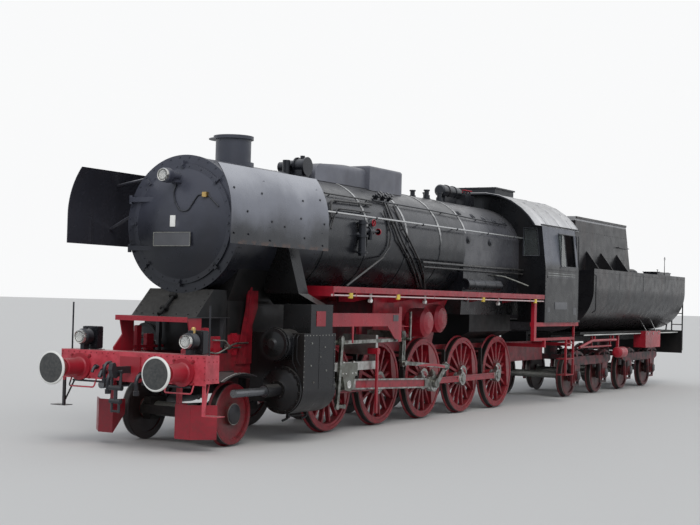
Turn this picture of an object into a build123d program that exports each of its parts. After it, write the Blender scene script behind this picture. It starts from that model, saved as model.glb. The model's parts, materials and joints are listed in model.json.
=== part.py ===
"""Steam locomotive of the 2-10-0 wheel arrangement with a tub tender, in millimetres.

The model is drawn from the middle (driving) axle, x rearwards, and from the top of the
rail, z upwards. At the end each piece is moved into the part's own frame: origin midway
between the buffer faces, on the ground under the wheel flanges. The engine's left side
is at negative y. A function that draws one side takes side = -1 (left) or 1 (right).
"""
import os
from math import atan2, cos, degrees, radians, sin, sqrt

from build123d import *

os.makedirs("parts", exist_ok=True)

# Overall sizes and running gear
length_over_buffers = 22975
front_overhang = 7750
back_to_back = 1360
tyre_width = 140
flange_height = 28
flange_width = 30
coupled_tread = 1400
leading_tread = 850
tender_tread = 930
coupled_spacing = 1650
leading_spacing = 2600
tender_first_axle_x = 7400
bogie_wheelbase = 1900
bogie_spacing = 3800
journal_radius = 105
tender_journal_radius = 60
running_clearance = 0.8
seat_gap = 0.3
moving_clearance = 6

# Rods and cylinders
crank_radius = 330
left_crank_angle = 190
quarter_turn = 90
side_rod_mid = 940
side_rod_width = 90
side_rod_depth = 110
main_rod_mid = 1150
main_rod_width = 110
main_rod_length = 3100
main_rod_depth = 165
crank_pin_radius = 62
crosshead_pin_radius = 50
pin_length = 185
cylinder_axis_y = 1150
cylinder_axis_z = 750
cylinder_radius = 350
cylinder_front_x = -5180
cylinder_rear_x = -4300
piston_rod_radius = 45
slide_bar_z = 960
slide_bar_depth = 130
slide_bar_rear_x = -2400
valve_axis_z = 1400
valve_radius = 240
link_x = -1640
motion_beam_y = 1300
motion_beam_top_z = 1850

# Boiler and smokebox
boiler_axis_z = 3070
barrel_radius = 945
band_height = 8
pipe_standoff = 40
smokebox_radius = 965
smokebox_wall = 25
smokebox_front_x = -6100
smokebox_rear_x = -3850
smokebox_ring = 15
door_radius = 850
door_dish_radius = 780
door_hinge_x = -6150
door_hinge_y = 900
door_clamps = 8
chimney_x = -4904
chimney_bore = 205
chimney_radius = 265
chimney_lip_radius = 300
chimney_top_z = 4450
cover_hinge_radius = 330
cover_hinge_azimuth = 7
cover_swing = 107
cover_radius = 300
cover_thickness = 12
firebox_front_x = 1400
firebox_half_width = 905
firebox_low_z = 1830
firebox_overlap = 330
deflector_y = 1407
deflector_sheet = 12

# Cab and running boards
cab_front_x = 4080
cab_rear_x = 6000
cab_half_width = 1500
cab_eaves_half_width = 1400
cab_floor_z = 1690
cab_sill_z = 2790
cab_eaves_z = 3650
cab_crown_z = 4310
cab_wall = 40
roof_front_x = 3700
roof_rear_x = 6262
roof_sheet = 30
running_board_z = 2250
running_board_half_width = 1500
running_board_front_x = -4395
running_board_sheet = 20
fascia_height = 90

# Frame
frame_plate_y = 505
frame_plate_width = 90
frame_top_z = 1260
frame_low_z = 520
frame_front_low_z = 940
truck_pivot_x = -4500
truck_pin_radius = 60
beam_front_x = -7150
beam_plate = 20
beam_half_width = 1230
beam_top_z = 1280
beam_low_z = 890
platform_front_x = -6760
platform_half_width = 620
platform_z = 1765
buffer_y = 875
buffer_z = 1050
buffer_disc = 450

# Tender
tub_front_x = 7170
tub_rear_x = 14550
tub_half_width = 1450
tub_top_z = 2850
tub_base_z = 1450
tub_corner_radius = 1000
tender_beam_x = 14560
drawbar_pin_x = 6500
drawbar_pin_radius = 45
drawbar_z = 1285
bogie_pivot_z = 1130
bogie_side_y = 960
bunker_half_width = 900
bunker_top_z = 4080
bunker_front_x = 7400
bunker_rear_top_x = 11024
bunker_rear_low_x = 11474
bunker_sheet = 30
filler_front_x = 13050
filler_rear_x = 14250
filler_inner_y = -750
filler_hinge_y = -740
filler_hinge_z = 2985
filler_knuckle_radius = 8
filler_outer_y = -1130
filler_height = 120
filler_wall = 20

# Derived places
front_buffer_x = -front_overhang
rear_buffer_x = length_over_buffers - front_overhang
to_part_frame = Location((front_overhang - length_over_buffers / 2, 0, flange_height))
coupled_axles = [coupled_spacing * step for step in (-2, -1, 0, 1, 2)]
leading_axle_x = coupled_axles[0] - leading_spacing
bogie_centres = [tender_first_axle_x + bogie_wheelbase / 2 + bogie_spacing * step for step in (0, 1)]
axle_offsets = (-bogie_wheelbase / 2, bogie_wheelbase / 2)
wheel_back_y = back_to_back / 2
wheel_face_y = wheel_back_y + tyre_width
coupled_radius = coupled_tread / 2
leading_radius = leading_tread / 2
tender_radius = tender_tread / 2
frame_out_y = frame_plate_y + frame_plate_width
cylinder_face_y = cylinder_axis_y + cylinder_radius
pipe_radius_on_boiler = barrel_radius + pipe_standoff
valve_gear_y = main_rod_mid + main_rod_width / 2 + moving_clearance + 25
left = -1
right = 1
sides = ((left, "left"), (right, "right"))


def block(x0, x1, y0, y1, z0, z1):
    middle = Pos((x0 + x1) / 2, (y0 + y1) / 2, (z0 + z1) / 2)
    return middle * Box(abs(x1 - x0), abs(y1 - y0), abs(z1 - z0))


def rod(start, end, radius):
    along = Vector(*end) - Vector(*start)
    plane = Plane(origin=start, z_dir=along)
    return extrude(plane * Circle(radius), along.length)


def across(x, z, y0, y1, radius):
    return rod((x, min(y0, y1), z), (x, max(y0, y1), z), radius)


def boiler_rod(x0, x1, radius):
    return rod((x0, 0, boiler_axis_z), (x1, 0, boiler_axis_z), radius)


def turned(profile, y, z):
    """A solid turned about the line along x at y, z. The profile's rows are (x, radius)."""
    closed = [(profile[0][0], 0)] + list(profile) + [(profile[-1][0], 0)]
    face = make_face(Plane.XZ * Polyline(*closed, close=True))
    return Pos(0, y, z) * revolve(face, Axis.X)


def side_plate(points, y0, y1):
    """A plate whose outline is given by (x, z) points, between the planes y0 and y1."""
    outline = make_face(Plane.XZ * Polyline(*points, close=True))
    return Pos(0, min(y0, y1), 0) * extrude(outline, abs(y1 - y0), dir=(0, 1, 0))


def along_x(face, x0, x1):
    return Pos(x0, 0, 0) * extrude(face, x1 - x0, dir=(1, 0, 0))


def cross_plate(points, x0, x1):
    """A plate whose outline is given by (y, z) points, between the planes x0 and x1."""
    outline = make_face(Plane.YZ * Polyline(*points, close=True))
    return along_x(outline, x0, x1)


def floor_plate(points, z0, z1):
    """A plate whose outline is given by (x, y) points, between the planes z0 and z1."""
    return Pos(0, 0, z0) * extrude(make_face(Polyline(*points, close=True)), z1 - z0, dir=(0, 0, 1))


def pipe(points, radius, bend):
    path = FilletPolyline(*points, radius=bend)
    start = Plane(origin=points[0], z_dir=Vector(*points[1]) - Vector(*points[0]))
    return sweep(start * Circle(radius), path=path)


def mirrored(shape):
    return mirror(shape, about=Plane.XZ)


def both(shape):
    return [shape, mirrored(shape)]


def one_side(shape, side):
    """A shape drawn on the right side, or its mirror image on the left."""
    return shape if side == right else mirrored(shape)


def fused(shapes):
    shapes = list(shapes)
    whole = shapes[0]
    for shape in shapes[1:]:
        whole = whole + shape
    return whole


def save(node, *shapes):
    solids = []
    for shape in shapes:
        solids.extend((to_part_frame * shape).solids())
    export_step(Compound(children=solids), f"parts/{node}.step")


def boiler_point(x, angle, radius=pipe_radius_on_boiler):
    """A point on a circle round the boiler, its angle counted from the top to the left."""
    turn = radians(angle)
    return x, -radius * sin(turn), boiler_axis_z + radius * cos(turn)


def smokebox_envelope():
    return boiler_rod(smokebox_front_x, smokebox_rear_x, smokebox_radius + seat_gap)


def barrel_envelope():
    return boiler_rod(smokebox_rear_x - 1, cab_front_x, barrel_radius + seat_gap)


def banded_envelope():
    return boiler_rod(smokebox_rear_x - 1, cab_front_x, barrel_radius + band_height + seat_gap)


def firebox_envelope():
    x0, x1 = firebox_front_x, cab_front_x + firebox_overlap + seat_gap
    y = firebox_half_width + seat_gap
    dome = boiler_rod(x0, x1, barrel_radius + seat_gap) & block(x0, x1, -y, y, boiler_axis_z, 2 * boiler_axis_z)
    return dome + block(x0, x1, -y, y, 1000, boiler_axis_z)


# Wheels and axles
def crank_angle(side):
    return left_crank_angle if side == left else left_crank_angle - quarter_turn


def crank_offset(side):
    angle = radians(crank_angle(side))
    return crank_radius * cos(angle), crank_radius * sin(angle)


def spoke(hub_radius, reach):
    """One tapered spoke from inside the hub to just inside the rim."""
    middle = (wheel_back_y + wheel_face_y) / 2
    root_size, tip_size = (58, 84), (40, 60)
    root = Plane(origin=(0, middle, hub_radius - 20), x_dir=(1, 0, 0), z_dir=(0, 0, 1))
    tip = Plane(origin=(0, middle, reach), x_dir=(1, 0, 0), z_dir=(0, 0, 1))
    return loft([root * Rectangle(*root_size), tip * Rectangle(*tip_size)])


def wheel(side, tread, spokes, hub_radius, rim, weight_depth=0, cranked=False):
    """A tyre with its flange, rim, hub and spokes or disc, and a driving wheel's crank boss."""
    back, face = wheel_back_y, wheel_face_y
    flange = tread + flange_height
    rim_inner = tread - rim
    tyre = revolve(make_face(Polyline(
        (rim_inner, back), (flange - 12, back), (flange, back + 10), (flange, back + 18),
        (tread, back + flange_width + 8), (tread, face - 8), (tread - 8, face), (tread - 60, face),
        (tread - 62, face - 10), (rim_inner, face - 10), close=True)), Axis.Y)
    hub = across(0, 0, back, face + 15, hub_radius)
    parts = [tyre, hub]
    if spokes:
        one = spoke(hub_radius, rim_inner + 10)
        parts += [Rot(0, 360 * index / spokes, 0) * one for index in range(spokes)]
    else:
        disc = [(0, back + 45), (rim_inner + 5, back + 20), (rim_inner + 5, face - 30), (0, face - 60)]
        parts.append(revolve(make_face(Polyline(*disc, close=True)), Axis.Y))
    body = fused(parts)
    dx, dz = crank_offset(side)
    if weight_depth:
        disc = across(0, 0, back + 25, face + 5, rim_inner + 6)
        turn = degrees(atan2(dz, dx)) + 180
        cutter = block(-2 * tread, rim_inner - weight_depth, back, face + 20, -2 * tread, 2 * tread)
        body = body + Rot(0, -turn, 0) * (disc - cutter)
    if cranked:
        body = body + across(dx, dz, back + 20, face + 20, hub_radius * 0.62)
        body = body + across(dx, dz, face, face + pin_length, crank_pin_radius)
    return one_side(body, side)


def wheelset(x, tread, spokes, hub_radius, rim, weight_depth=0, cranked=False):
    axle = across(x, tread, -wheel_back_y, wheel_back_y, journal_radius)
    wheels = [wheel(side, tread, spokes, hub_radius, rim, weight_depth, cranked) for side, _ in sides]
    return [axle] + [Pos(x, 0, tread) * one for one in wheels]


def tender_wheelset(x):
    z = tender_radius
    axle = across(x, z, -wheel_back_y, wheel_back_y, tender_journal_radius + 20)
    wheels = [Pos(x, 0, z) * wheel(side, tender_radius, 0, 120, 75) for side, _ in sides]
    journals = [across(x, z, side * (wheel_face_y + 15), side * 1000, tender_journal_radius)
                for side, _ in sides]
    return [axle] + wheels + journals


# Frame, leading truck and front end
def frame_plate():
    points = [
        (beam_front_x + beam_plate, frame_top_z), (beam_front_x + beam_plate, frame_front_low_z),
        (-4420, frame_front_low_z), (-4200, frame_low_z), (3900, frame_low_z), (4300, 850),
        (6300, 850), (6300, frame_top_z)]
    plate = side_plate(points, frame_plate_y, frame_out_y)
    window = (60, 450, 760, 1080)
    near, far, low, high = window
    for first, second in zip(coupled_axles, coupled_axles[1:]):
        middle = (first + second) / 2
        plate = plate - block(middle - far, middle - near, 400, 700, low, high)
        plate = plate - block(middle + near, middle + far, 400, 700, low, high)
    for x in coupled_axles:
        plate = plate - across(x, coupled_radius, 400, 700, journal_radius + running_clearance)
    return plate


def boiler_carrier():
    """The upright sheet between the frame and the boiler, cut off on a slant at the ashpan."""
    points = [(-1500, frame_top_z), (750, frame_top_z), (900, 1640), (1395, 2090), (1395, 2180), (-1500, 2180)]
    return side_plate(points, frame_out_y - 20, frame_out_y)


def saddle_pillar():
    """The ribbed casting on the frame's outside that the smokebox saddle leans on."""
    outline = [
        (-5560, 1100), (-5190, 1100), (-5190, 1650), (-5060, 1900), (-5060, 2280), (-5300, 2280),
        (-5340, 1900)]
    pillar = side_plate(outline, frame_out_y, frame_out_y + 25)
    rib = side_plate([(-5400, 1100), (-5360, 1100), (-5240, 1900), (-5240, 2200), (-5280, 2200)],
                     frame_out_y + 25, frame_out_y + 45)
    return pillar + rib - saddle_block(seat_gap)


def wheel_guard():
    """The bent sheet over a leading wheel."""
    over = ThreePointArc((-6390, 900), (-6000, 1000), (-5600, 950))
    under = ThreePointArc((-5600, 942), (-6000, 992), (-6390, 892))
    ends = Polyline((-5600, 950), (-5600, 942)) + Polyline((-6390, 892), (-6390, 900))
    sheet = make_face(Plane.XZ * (over + under + ends))
    return Pos(0, frame_out_y, 0) * extrude(sheet, 400, dir=(0, 1, 0))


def main_frame():
    members = both(frame_plate() + boiler_carrier() + saddle_pillar() + wheel_guard())
    inner = frame_plate_y + 5
    # x, low z, high z of each cross member
    cross_members = (
        (-7060, 960, 1220), (-6200, 960, 1220), (-4740, 960, 1220), (-2475, 620, 1220),
        (-825, 620, 1220), (825, 620, 1220), (2475, 620, 900), (4200, 960, 1220), (6050, 960, 1220))
    for x, low, high in cross_members:
        members.append(block(x - 25, x + 25, -inner, inner, low, high))
    members.append(block(truck_pivot_x - 150, truck_pivot_x + 150, -inner, inner, 840, 960))
    pin_bore = rod((truck_pivot_x, 0, 800), (truck_pivot_x, 0, 980), truck_pin_radius + running_clearance)
    return fused(members) - pin_bore


def leading_truck():
    z = leading_radius
    pieces = []
    for side, _ in sides:
        y = side * 560
        arm = floor_plate([
            (leading_axle_x, y - 45), (leading_axle_x, y + 45), (truck_pivot_x, side * 120 + 45),
            (truck_pivot_x, side * 120 - 45)], z - 45, z + 45)
        pieces.append(arm)
        pieces.append(block(leading_axle_x - 170, leading_axle_x + 170, y - 60, y + 60, z - 150, z + 170))
    pieces.append(block(truck_pivot_x - 150, truck_pivot_x + 150, -190, 190, z - 50, z + 60))
    pieces.append(rod((truck_pivot_x, 0, z), (truck_pivot_x, 0, 900), truck_pin_radius))
    pieces.append(block(leading_axle_x - 260, leading_axle_x - 170, -620, 620, z - 60, z + 60))
    return fused(pieces) - across(leading_axle_x, z, -700, 700, journal_radius + running_clearance)


def beam_step():
    """A step hung from the end of the buffer beam, with its brace."""
    y = beam_half_width - 40
    post = block(-7130, -7100, y - 20, y + 20, 500, beam_low_z + 60)
    brace = rod((-7100, y, 560), (-6920, y - 60, beam_low_z + 40), 12)
    tread = block(-7130, -6960, y - 20, y + 230, 492, 502)
    return post + brace + tread


def buffer_beam():
    """A folded box: face plate, top plate, closed ends with a lower lip, steps and handrails."""
    y = beam_half_width
    rear_x = beam_front_x + 300
    back_x = beam_front_x + beam_plate
    pieces = [
        block(beam_front_x, back_x, -y, y, beam_low_z, beam_top_z - beam_plate / 2),
        block(beam_front_x, rear_x, -y, y, frame_top_z + seat_gap, beam_top_z)]
    for side, _ in sides:
        end = block(back_x - 1, rear_x, side * (y - 230), side * y, beam_low_z + 40, beam_top_z - 1)
        lip = block(beam_front_x, rear_x, side * (y - 240), side * (y + 8), beam_low_z + 25, beam_low_z + 45)
        pieces += [end, lip, one_side(beam_step(), side)]
        # x, y, z along the handrail under the buffer
        handrail = [(beam_front_x + 10, 600, beam_low_z + 5), (beam_front_x - 40, 600, 780),
                    (beam_front_x - 40, 1040, 780), (beam_front_x + 10, 1040, beam_low_z + 5)]
        pieces.append(one_side(pipe(handrail, 11, 30), side))
    return fused(pieces)


def buffers(face_x, beam_x, direction):
    result = []
    for side, _ in sides:
        # distance from the disc's face towards the beam, radius
        steps = ((0, 60), (4, buffer_disc / 2 - 12), (14, buffer_disc / 2), (30, buffer_disc / 2),
                 (42, 150), (60, 90), (230, 90), (230, 112), (250, 120))
        profile = [(face_x - direction * distance, radius) for distance, radius in steps]
        profile += [(beam_x + direction * 60, 120), (beam_x + direction * 40, 135),
                    (beam_x + direction * 40, 185), (beam_x, 185)]
        result.append(turned(profile, side * buffer_y, buffer_z))
    return result


def coupling():
    """A draw hook with its guide plate and a screw coupling, reaching forwards from the origin."""
    z = buffer_z
    shank = block(-230, 0, -35, 35, z - 45, z + 45)
    hook = side_plate([(-190, z + 36), (-330, z + 50), (-360, z + 100), (-410, z + 95), (-430, z + 10),
                       (-400, z - 80), (-330, z - 105), (-190, z - 36)], -32, 32)
    guide = block(-25, 0, -170, 170, z - 170, z + 170)
    pieces = [shank, hook, guide, across(-290, z - 20, -102, 102, 24)]
    for side, _ in sides:
        pieces.append(rod((-290, side * 75, z - 20), (-300, side * 75, 815), 20))
        pieces.append(rod((-300, side * 60, 640), (-300, side * 60, 490), 18))
    pieces.append(across(-300, 815, -105, 105, 34))
    pieces.append(rod((-300, 0, 830), (-300, 0, 630), 26))
    pieces.append(across(-300, 640, -90, 90, 32))
    pieces.append(across(-300, 508, -64, 64, 15))
    return fused(pieces)


def front_platform():
    y = platform_half_width
    deck = block(platform_front_x, -5760, -y, y, platform_z - 12, platform_z)
    fascia = block(platform_front_x, platform_front_x + 12, -y, y, platform_z - 70, platform_z)
    web = [
        (platform_front_x + 5, platform_z - 10), (-6400, platform_z - 10), (-6400, beam_top_z + 40),
        (-6400, frame_top_z + seat_gap), (-6820, frame_top_z + seat_gap), (-6820, beam_top_z + 40),
        (-6640, 1500), (-6700, platform_z - 60)]
    pieces = [deck, fascia]
    for side, _ in sides:
        pieces.append(side_plate(web, side * (frame_out_y - 20), side * frame_out_y))
        pieces.append(block(-5880, -5820, side * (frame_out_y - 60), side * frame_out_y,
                            frame_top_z + seat_gap, platform_z - 5))
    return fused(pieces) - block(beam_front_x, beam_front_x + 300 + seat_gap, -1500, 1500, 1000, beam_top_z + seat_gap)


def rail_guard():
    """A bent plate ahead of the leading wheel: inner return, face and outer wing."""
    low, high = 140, 600
    face_x, inner_y, outer_y = -6845, 532, 786
    returned = side_plate([(face_x, high), (-6596, high), (-6596, 390), (face_x, low)], inner_y, inner_y + 10)
    face = block(face_x - 10, face_x, inner_y, outer_y, low, high)
    wing = floor_plate([(face_x - 10, outer_y - 10), (face_x, outer_y - 20), (-6590, 1030), (-6597, 1040)],
                       low, high)
    hanger = block(face_x, face_x + 60, inner_y + 5, frame_out_y, 300, frame_front_low_z - seat_gap)
    return fused([returned, face, wing, hanger])


def beam_lamp():
    """A lamp on its stand, and a marker pole at the end of the buffer beam."""
    lamp = turned([(-7155, 84), (-7120, 92), (-7110, 112), (-6990, 112), (-6960, 80)], 900, 1455)
    chimney_piece = rod((-7050, 900, 1560), (-7050, 900, 1600), 34)
    stand = block(-7110, -7000, 870, 930, beam_top_z + seat_gap, 1400)
    pole_y = beam_half_width - 60
    pole = rod((-7000, pole_y, beam_top_z + seat_gap), (-7000, pole_y, 1930), 12)
    return [lamp + chimney_piece + stand, pole]


def beam_lamps():
    lamp, pole = beam_lamp()
    return both(lamp) + both(pole)


# Smokebox, chimney and deflectors
def smokebox():
    x0, x1 = smokebox_front_x, smokebox_rear_x
    shell = boiler_rod(x0, x1, smokebox_radius) + boiler_rod(x0, x0 + 60, smokebox_radius + smokebox_ring)
    inside = boiler_rod(x0 + 30, x1 - 40, smokebox_radius - smokebox_wall)
    mouth = boiler_rod(x0 - 10, x0 + 60, door_radius - 60)
    flue = rod((chimney_x, 0, boiler_axis_z), (chimney_x, 0, boiler_axis_z + 1200), chimney_bore)
    return shell - inside - mouth - flue


def smokebox_door():
    """The dished door with its clamps, hinge straps, handle and top lamp."""
    x0 = smokebox_front_x - seat_gap
    edge_x = x0 - 30
    dome_radius = 2600
    centre_x = edge_x + sqrt(dome_radius ** 2 - door_dish_radius ** 2)
    middle_x = centre_x - sqrt(dome_radius ** 2 - door_dish_radius ** 2 / 4)
    apex_x = centre_x - dome_radius
    dish = ThreePointArc((edge_x, door_dish_radius), (middle_x, door_dish_radius / 2), (apex_x, 0))
    rim = Polyline((apex_x, 0), (x0, 0), (x0, door_radius), (edge_x, door_radius), (edge_x, door_dish_radius))
    pieces = [Pos(0, 0, boiler_axis_z) * revolve(make_face(Plane.XZ * (dish + rim)), Axis.X)]
    clamp = block(edge_x - 28, edge_x + 2, -22, 22, door_dish_radius + 10, door_radius + 42)
    clamp = clamp + rod((edge_x - 45, 0, door_dish_radius + 45), (edge_x, 0, door_dish_radius + 45), 16)
    for index in range(door_clamps):
        pieces.append(Pos(0, 0, boiler_axis_z) * Rot(360 * index / door_clamps, 0, 0) * clamp)
    for z in (boiler_axis_z - 350, boiler_axis_z + 350):
        pieces.append(block(door_hinge_x - 30, x0 - 25, 300, door_hinge_y, z - 35, z + 35))
        pieces.append(rod((door_hinge_x, door_hinge_y, z - 60), (door_hinge_x, door_hinge_y, z + 60), 28))
    lamp_y, lamp_z = 60, boiler_axis_z + 660
    pieces.append(rod((x0 - 20, lamp_y, lamp_z), (x0 - 330, lamp_y, lamp_z), 60))
    pieces.append(turned([(x0 - 250, 80), (x0 - 280, 105), (x0 - 375, 105), (x0 - 385, 92), (x0 - 400, 84)],
                         lamp_y, lamp_z))
    pieces.append(block(x0 - 190, x0 - 20, lamp_y - 90, lamp_y + 90, lamp_z - 90, lamp_z - 50))
    return fused(pieces)


def saddle_block(gap=0):
    base_z = frame_top_z + seat_gap - gap
    points = [(590, base_z), (560, 2000), (760, 2500)]
    right_edge = [(y + gap, z) for y, z in points]
    left_edge = [(-y, z) for y, z in reversed(right_edge)]
    return cross_plate(right_edge + left_edge, -5750 - gap, -4250 + gap)


def smokebox_saddle():
    """The saddle between frame and smokebox, with the apron that slopes up from the platform."""
    pieces = [saddle_block()]
    foot_x, foot_z, head_x, head_z = -6480, platform_z + seat_gap, -6080, 2150
    slope = [(foot_x, foot_z), (foot_x + 14, foot_z), (head_x + 14, head_z), (head_x, head_z)]
    pieces.append(side_plate(slope, -560, 560))
    cheek = [(foot_x, foot_z), (-5745, foot_z), (-5745, head_z), (head_x, head_z)]
    for side, _ in sides:
        pieces.append(side_plate(cheek, side * 546, side * 560))
    saddle = fused(pieces)
    ring = boiler_rod(smokebox_front_x - 40, smokebox_front_x + 61, smokebox_radius + smokebox_ring + seat_gap)
    return saddle - smokebox_envelope() - ring


def cover_hinge():
    angle = radians(cover_hinge_azimuth)
    return chimney_x + cover_hinge_radius * cos(angle), cover_hinge_radius * sin(angle)


def chimney():
    low_z = boiler_axis_z + smokebox_radius - 45
    body = rod((chimney_x, 0, low_z), (chimney_x, 0, chimney_top_z), chimney_radius)
    skirt = rod((chimney_x, 0, low_z), (chimney_x, 0, boiler_axis_z + smokebox_radius + 22), chimney_radius + 45)
    lip = rod((chimney_x, 0, chimney_top_z - 50), (chimney_x, 0, chimney_top_z), chimney_lip_radius)
    hinge_x, hinge_y = cover_hinge()
    ear = rod((hinge_x, hinge_y, chimney_top_z - 50), (hinge_x, hinge_y, chimney_top_z - 2), 40)
    bore = rod((chimney_x, 0, low_z - 10), (chimney_x, 0, chimney_top_z + 10), chimney_bore)
    return fused([body, skirt, lip, ear]) - bore - boiler_rod(smokebox_front_x, smokebox_rear_x, smokebox_radius)


def chimney_cover():
    """The flat lid, swung aside about its upright pin, as it stands in service."""
    hinge_x, hinge_y = cover_hinge()
    z0 = chimney_top_z + moving_clearance
    closed = rod((chimney_x, 0, z0), (chimney_x, 0, z0 + cover_thickness), cover_radius)
    boss = rod((hinge_x, hinge_y, z0), (hinge_x, hinge_y, z0 + cover_thickness + 20), 40)
    pin = rod((hinge_x, hinge_y, chimney_top_z - 2 + running_clearance), (hinge_x, hinge_y, z0), 18)
    turn = Location((hinge_x, hinge_y, 0)) * Rot(0, 0, -cover_swing) * Location((-hinge_x, -hinge_y, 0))
    return turn * (closed + boss + pin)


def smoke_deflector():
    """One curved side sheet on its stays to the smokebox, with two upright stiffeners inside."""
    low_z, bend_z, top_z, top_y = 2760, 3170, 3830, 1168
    middle_y, middle_z = 1340, 3530
    y, thick = deflector_y, deflector_sheet
    outer = Polyline((y, low_z), (y, bend_z)) + ThreePointArc((y, bend_z), (middle_y, middle_z), (top_y, top_z))
    inner = ThreePointArc((top_y - thick, top_z), (middle_y - thick, middle_z), (y - thick, bend_z))
    inner = inner + Polyline((y - thick, bend_z), (y - thick, low_z))
    ends = Polyline((top_y, top_z), (top_y - thick, top_z)) + Polyline((y - thick, low_z), (y, low_z))
    pieces = [along_x(make_face(Plane.YZ * (outer + inner + ends)), -6920, -4420)]
    # x of the stay, z and y at the smokebox, z and y at the sheet
    stays = (
        (-6000, 3250, 900, 3000, y - 4), (-4600, 3250, 900, 3000, y - 4),
        (-6000, 3745, 650, 3640, 1290), (-4600, 3745, 650, 3640, 1290))
    for x, box_z, box_y, sheet_z, sheet_y in stays:
        pieces.append(rod((x, box_y, box_z), (x, sheet_y, sheet_z), 22))
    for x in (-6450, -5300):
        rib = [(y - 4, low_z + 20), (y - 4, bend_z), (y - 40, bend_z), (y - 40, low_z + 20)]
        pieces.append(cross_plate(rib, x - 6, x + 6))
    return fused(pieces) - smokebox_envelope() - boiler_rod(-6110, -6030, smokebox_radius + smokebox_ring + seat_gap)


# Boiler with its fittings
def boiler_barrel():
    barrel = boiler_rod(smokebox_rear_x, firebox_front_x, barrel_radius)
    for x in (-3700, -2390, -1000, 330):
        barrel = barrel + boiler_rod(x - 30, x + 30, barrel_radius + band_height)
    return barrel


def firebox():
    """Round top on straight sides, drawn in to the foundation ring."""
    y, z0 = firebox_half_width, boiler_axis_z
    drop = sqrt(barrel_radius ** 2 - y ** 2)
    top = ThreePointArc((-y, z0 + drop), (0, z0 + barrel_radius), (y, z0 + drop))
    flanks = Polyline((y, z0 + drop), (y, 2500), (y - 45, firebox_low_z), (45 - y, firebox_low_z),
                      (-y, 2500), (-y, z0 + drop))
    body = along_x(make_face(Plane.YZ * (top + flanks)), firebox_front_x, cab_front_x + firebox_overlap)
    band_x = 1460
    band = boiler_rod(band_x - 30, band_x + 30, barrel_radius + band_height)
    return body + (band & block(band_x - 40, band_x + 40, -y, y, z0, z0 + 2 * barrel_radius))


def ashpan():
    top_z = firebox_low_z - seat_gap
    points = [(-800, top_z), (800, top_z), (800, 1500), (480, 1340), (480, 920), (-480, 920), (-480, 1340),
              (-800, 1500)]
    return cross_plate(points, 1950, 3950)


def dome_casing():
    """The long casing over the sand box and dome, and the wider box behind it."""
    front_x, joint_x, rear_x = -3080, -1400, -60
    nose = Polyline((front_x, 3600), (front_x, 4060)) + ThreePointArc(
        (front_x, 4060), (front_x + 60, 4190), (front_x + 210, 4245))
    back = Polyline((front_x + 210, 4245), (-2000, 4310), (joint_x + 20, 4310), (joint_x + 20, 3600), (front_x, 3600))
    side_view = extrude(make_face(Plane.XZ * (nose + back)), 330, dir=(0, 1, 0), both=True)
    section = block(front_x - 10, joint_x + 30, -330, 330, 3500, 4311)
    section = fillet(section.edges().filter_by(Axis.X).group_by(Axis.Z)[-1], 110)
    casing = side_view & section
    box = block(joint_x, rear_x, -400, 400, 3500, 4360)
    box = fillet(box.edges().filter_by(Axis.Z).group_by(Axis.X)[-1], 200)
    box = fillet(box.faces().sort_by(Axis.Z)[-1].edges(), 45)
    return casing + box - banded_envelope()


def generator_set():
    """The small turbine and generator across the boiler behind the chimney, on its bracket."""
    x, z = -3330, 4150
    pieces = [
        across(x, z, -330, -150, 125), across(x, z, -345, -320, 150), across(x, z, -165, -140, 150),
        across(x, z, -140, 60, 105), across(x, z, 60, 180, 85),
        block(x - 110, x + 110, -300, 120, boiler_axis_z + 800, z - 60),
        rod((x + 20, -230, z), (x + 20, -230, z + 175), 38),
        rod((x - 190, -60, z - 150), (x - 190, -60, z + 90), 60),
        rod((x - 190, -60, z + 10), (x, -60, z + 10), 30),
        across(x + 180, z - 20, -150, 60, 70),
        rod((x + 40, -40, z - 20), (x + 180, -40, z - 20), 35)]
    return fused(pieces) - barrel_envelope()


def safety_valves():
    result = []
    for x, y in ((1300, -150), (1300, 150), (1850, -150), (1850, 150)):
        foot = boiler_axis_z + sqrt(barrel_radius ** 2 - y ** 2) + seat_gap
        body = turned([(0, 62), (60, 62), (60, 45), (140, 45), (140, 60), (165, 60)], 0, 0)
        valve = Pos(x, y, foot + 8) * Rot(0, -90, 0) * body
        base = rod((x, y, foot - 30), (x, y, foot + 10), 75)
        result.append((valve + base) - barrel_envelope())
    return result


def turret():
    """The steam drum and valve block ahead of the cab, with their stop valves."""
    z = 4240
    pieces = [
        turned([(2150, 95), (2180, 118), (2400, 118), (2400, 132), (2440, 132), (2440, 118), (2700, 118),
                (2700, 132), (2740, 132), (2740, 118), (2950, 118), (2980, 80)], 0, z),
        block(2300, 2820, -60, 60, boiler_axis_z + 900, z),
        rod((2970, 0, z), (3120, 0, z), 40),
        block(3100, 3520, -130, 130, boiler_axis_z + 880, 4225)]
    for x in (3180, 3310, 3440):
        pieces.append(rod((x, -60, 4200), (x, -60, 4320), 22))
        pieces.append(rod((x, 60, 4200), (x, 60, 4290), 22))
    return fused(pieces) - barrel_envelope()


def check_valve():
    """The feed check valve on the boiler's left side, with its stop valves and flanges."""
    x, y = -2700, -(pipe_radius_on_boiler + 30)
    pieces = [
        rod((x, y, 2760), (x, y, 3330), 62), rod((x, y, 2800), (x, y, 2830), 92),
        rod((x, y, 3060), (x, y, 3095), 92), rod((x, y, 3270), (x, y, 3300), 92),
        rod((x, y, 3170), (x + 330, y, 3170), 46), rod((x + 150, y, 3170), (x + 180, y, 3170), 72),
        rod((x + 260, y, 3030), (x + 260, y, 3290), 40),
        rod((x + 330, y, 3170), (x + 470, y - 30, 3170), 18),
        across(x + 260, 3290, y - 60, y + 10, 20),
        rod((x, -barrel_radius + 60, 3080), (x, y, 3080), 66)]
    return fused(pieces) - barrel_envelope()


def boiler_fittings():
    return [generator_set(), turret(), check_valve()] + safety_valves()


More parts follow.
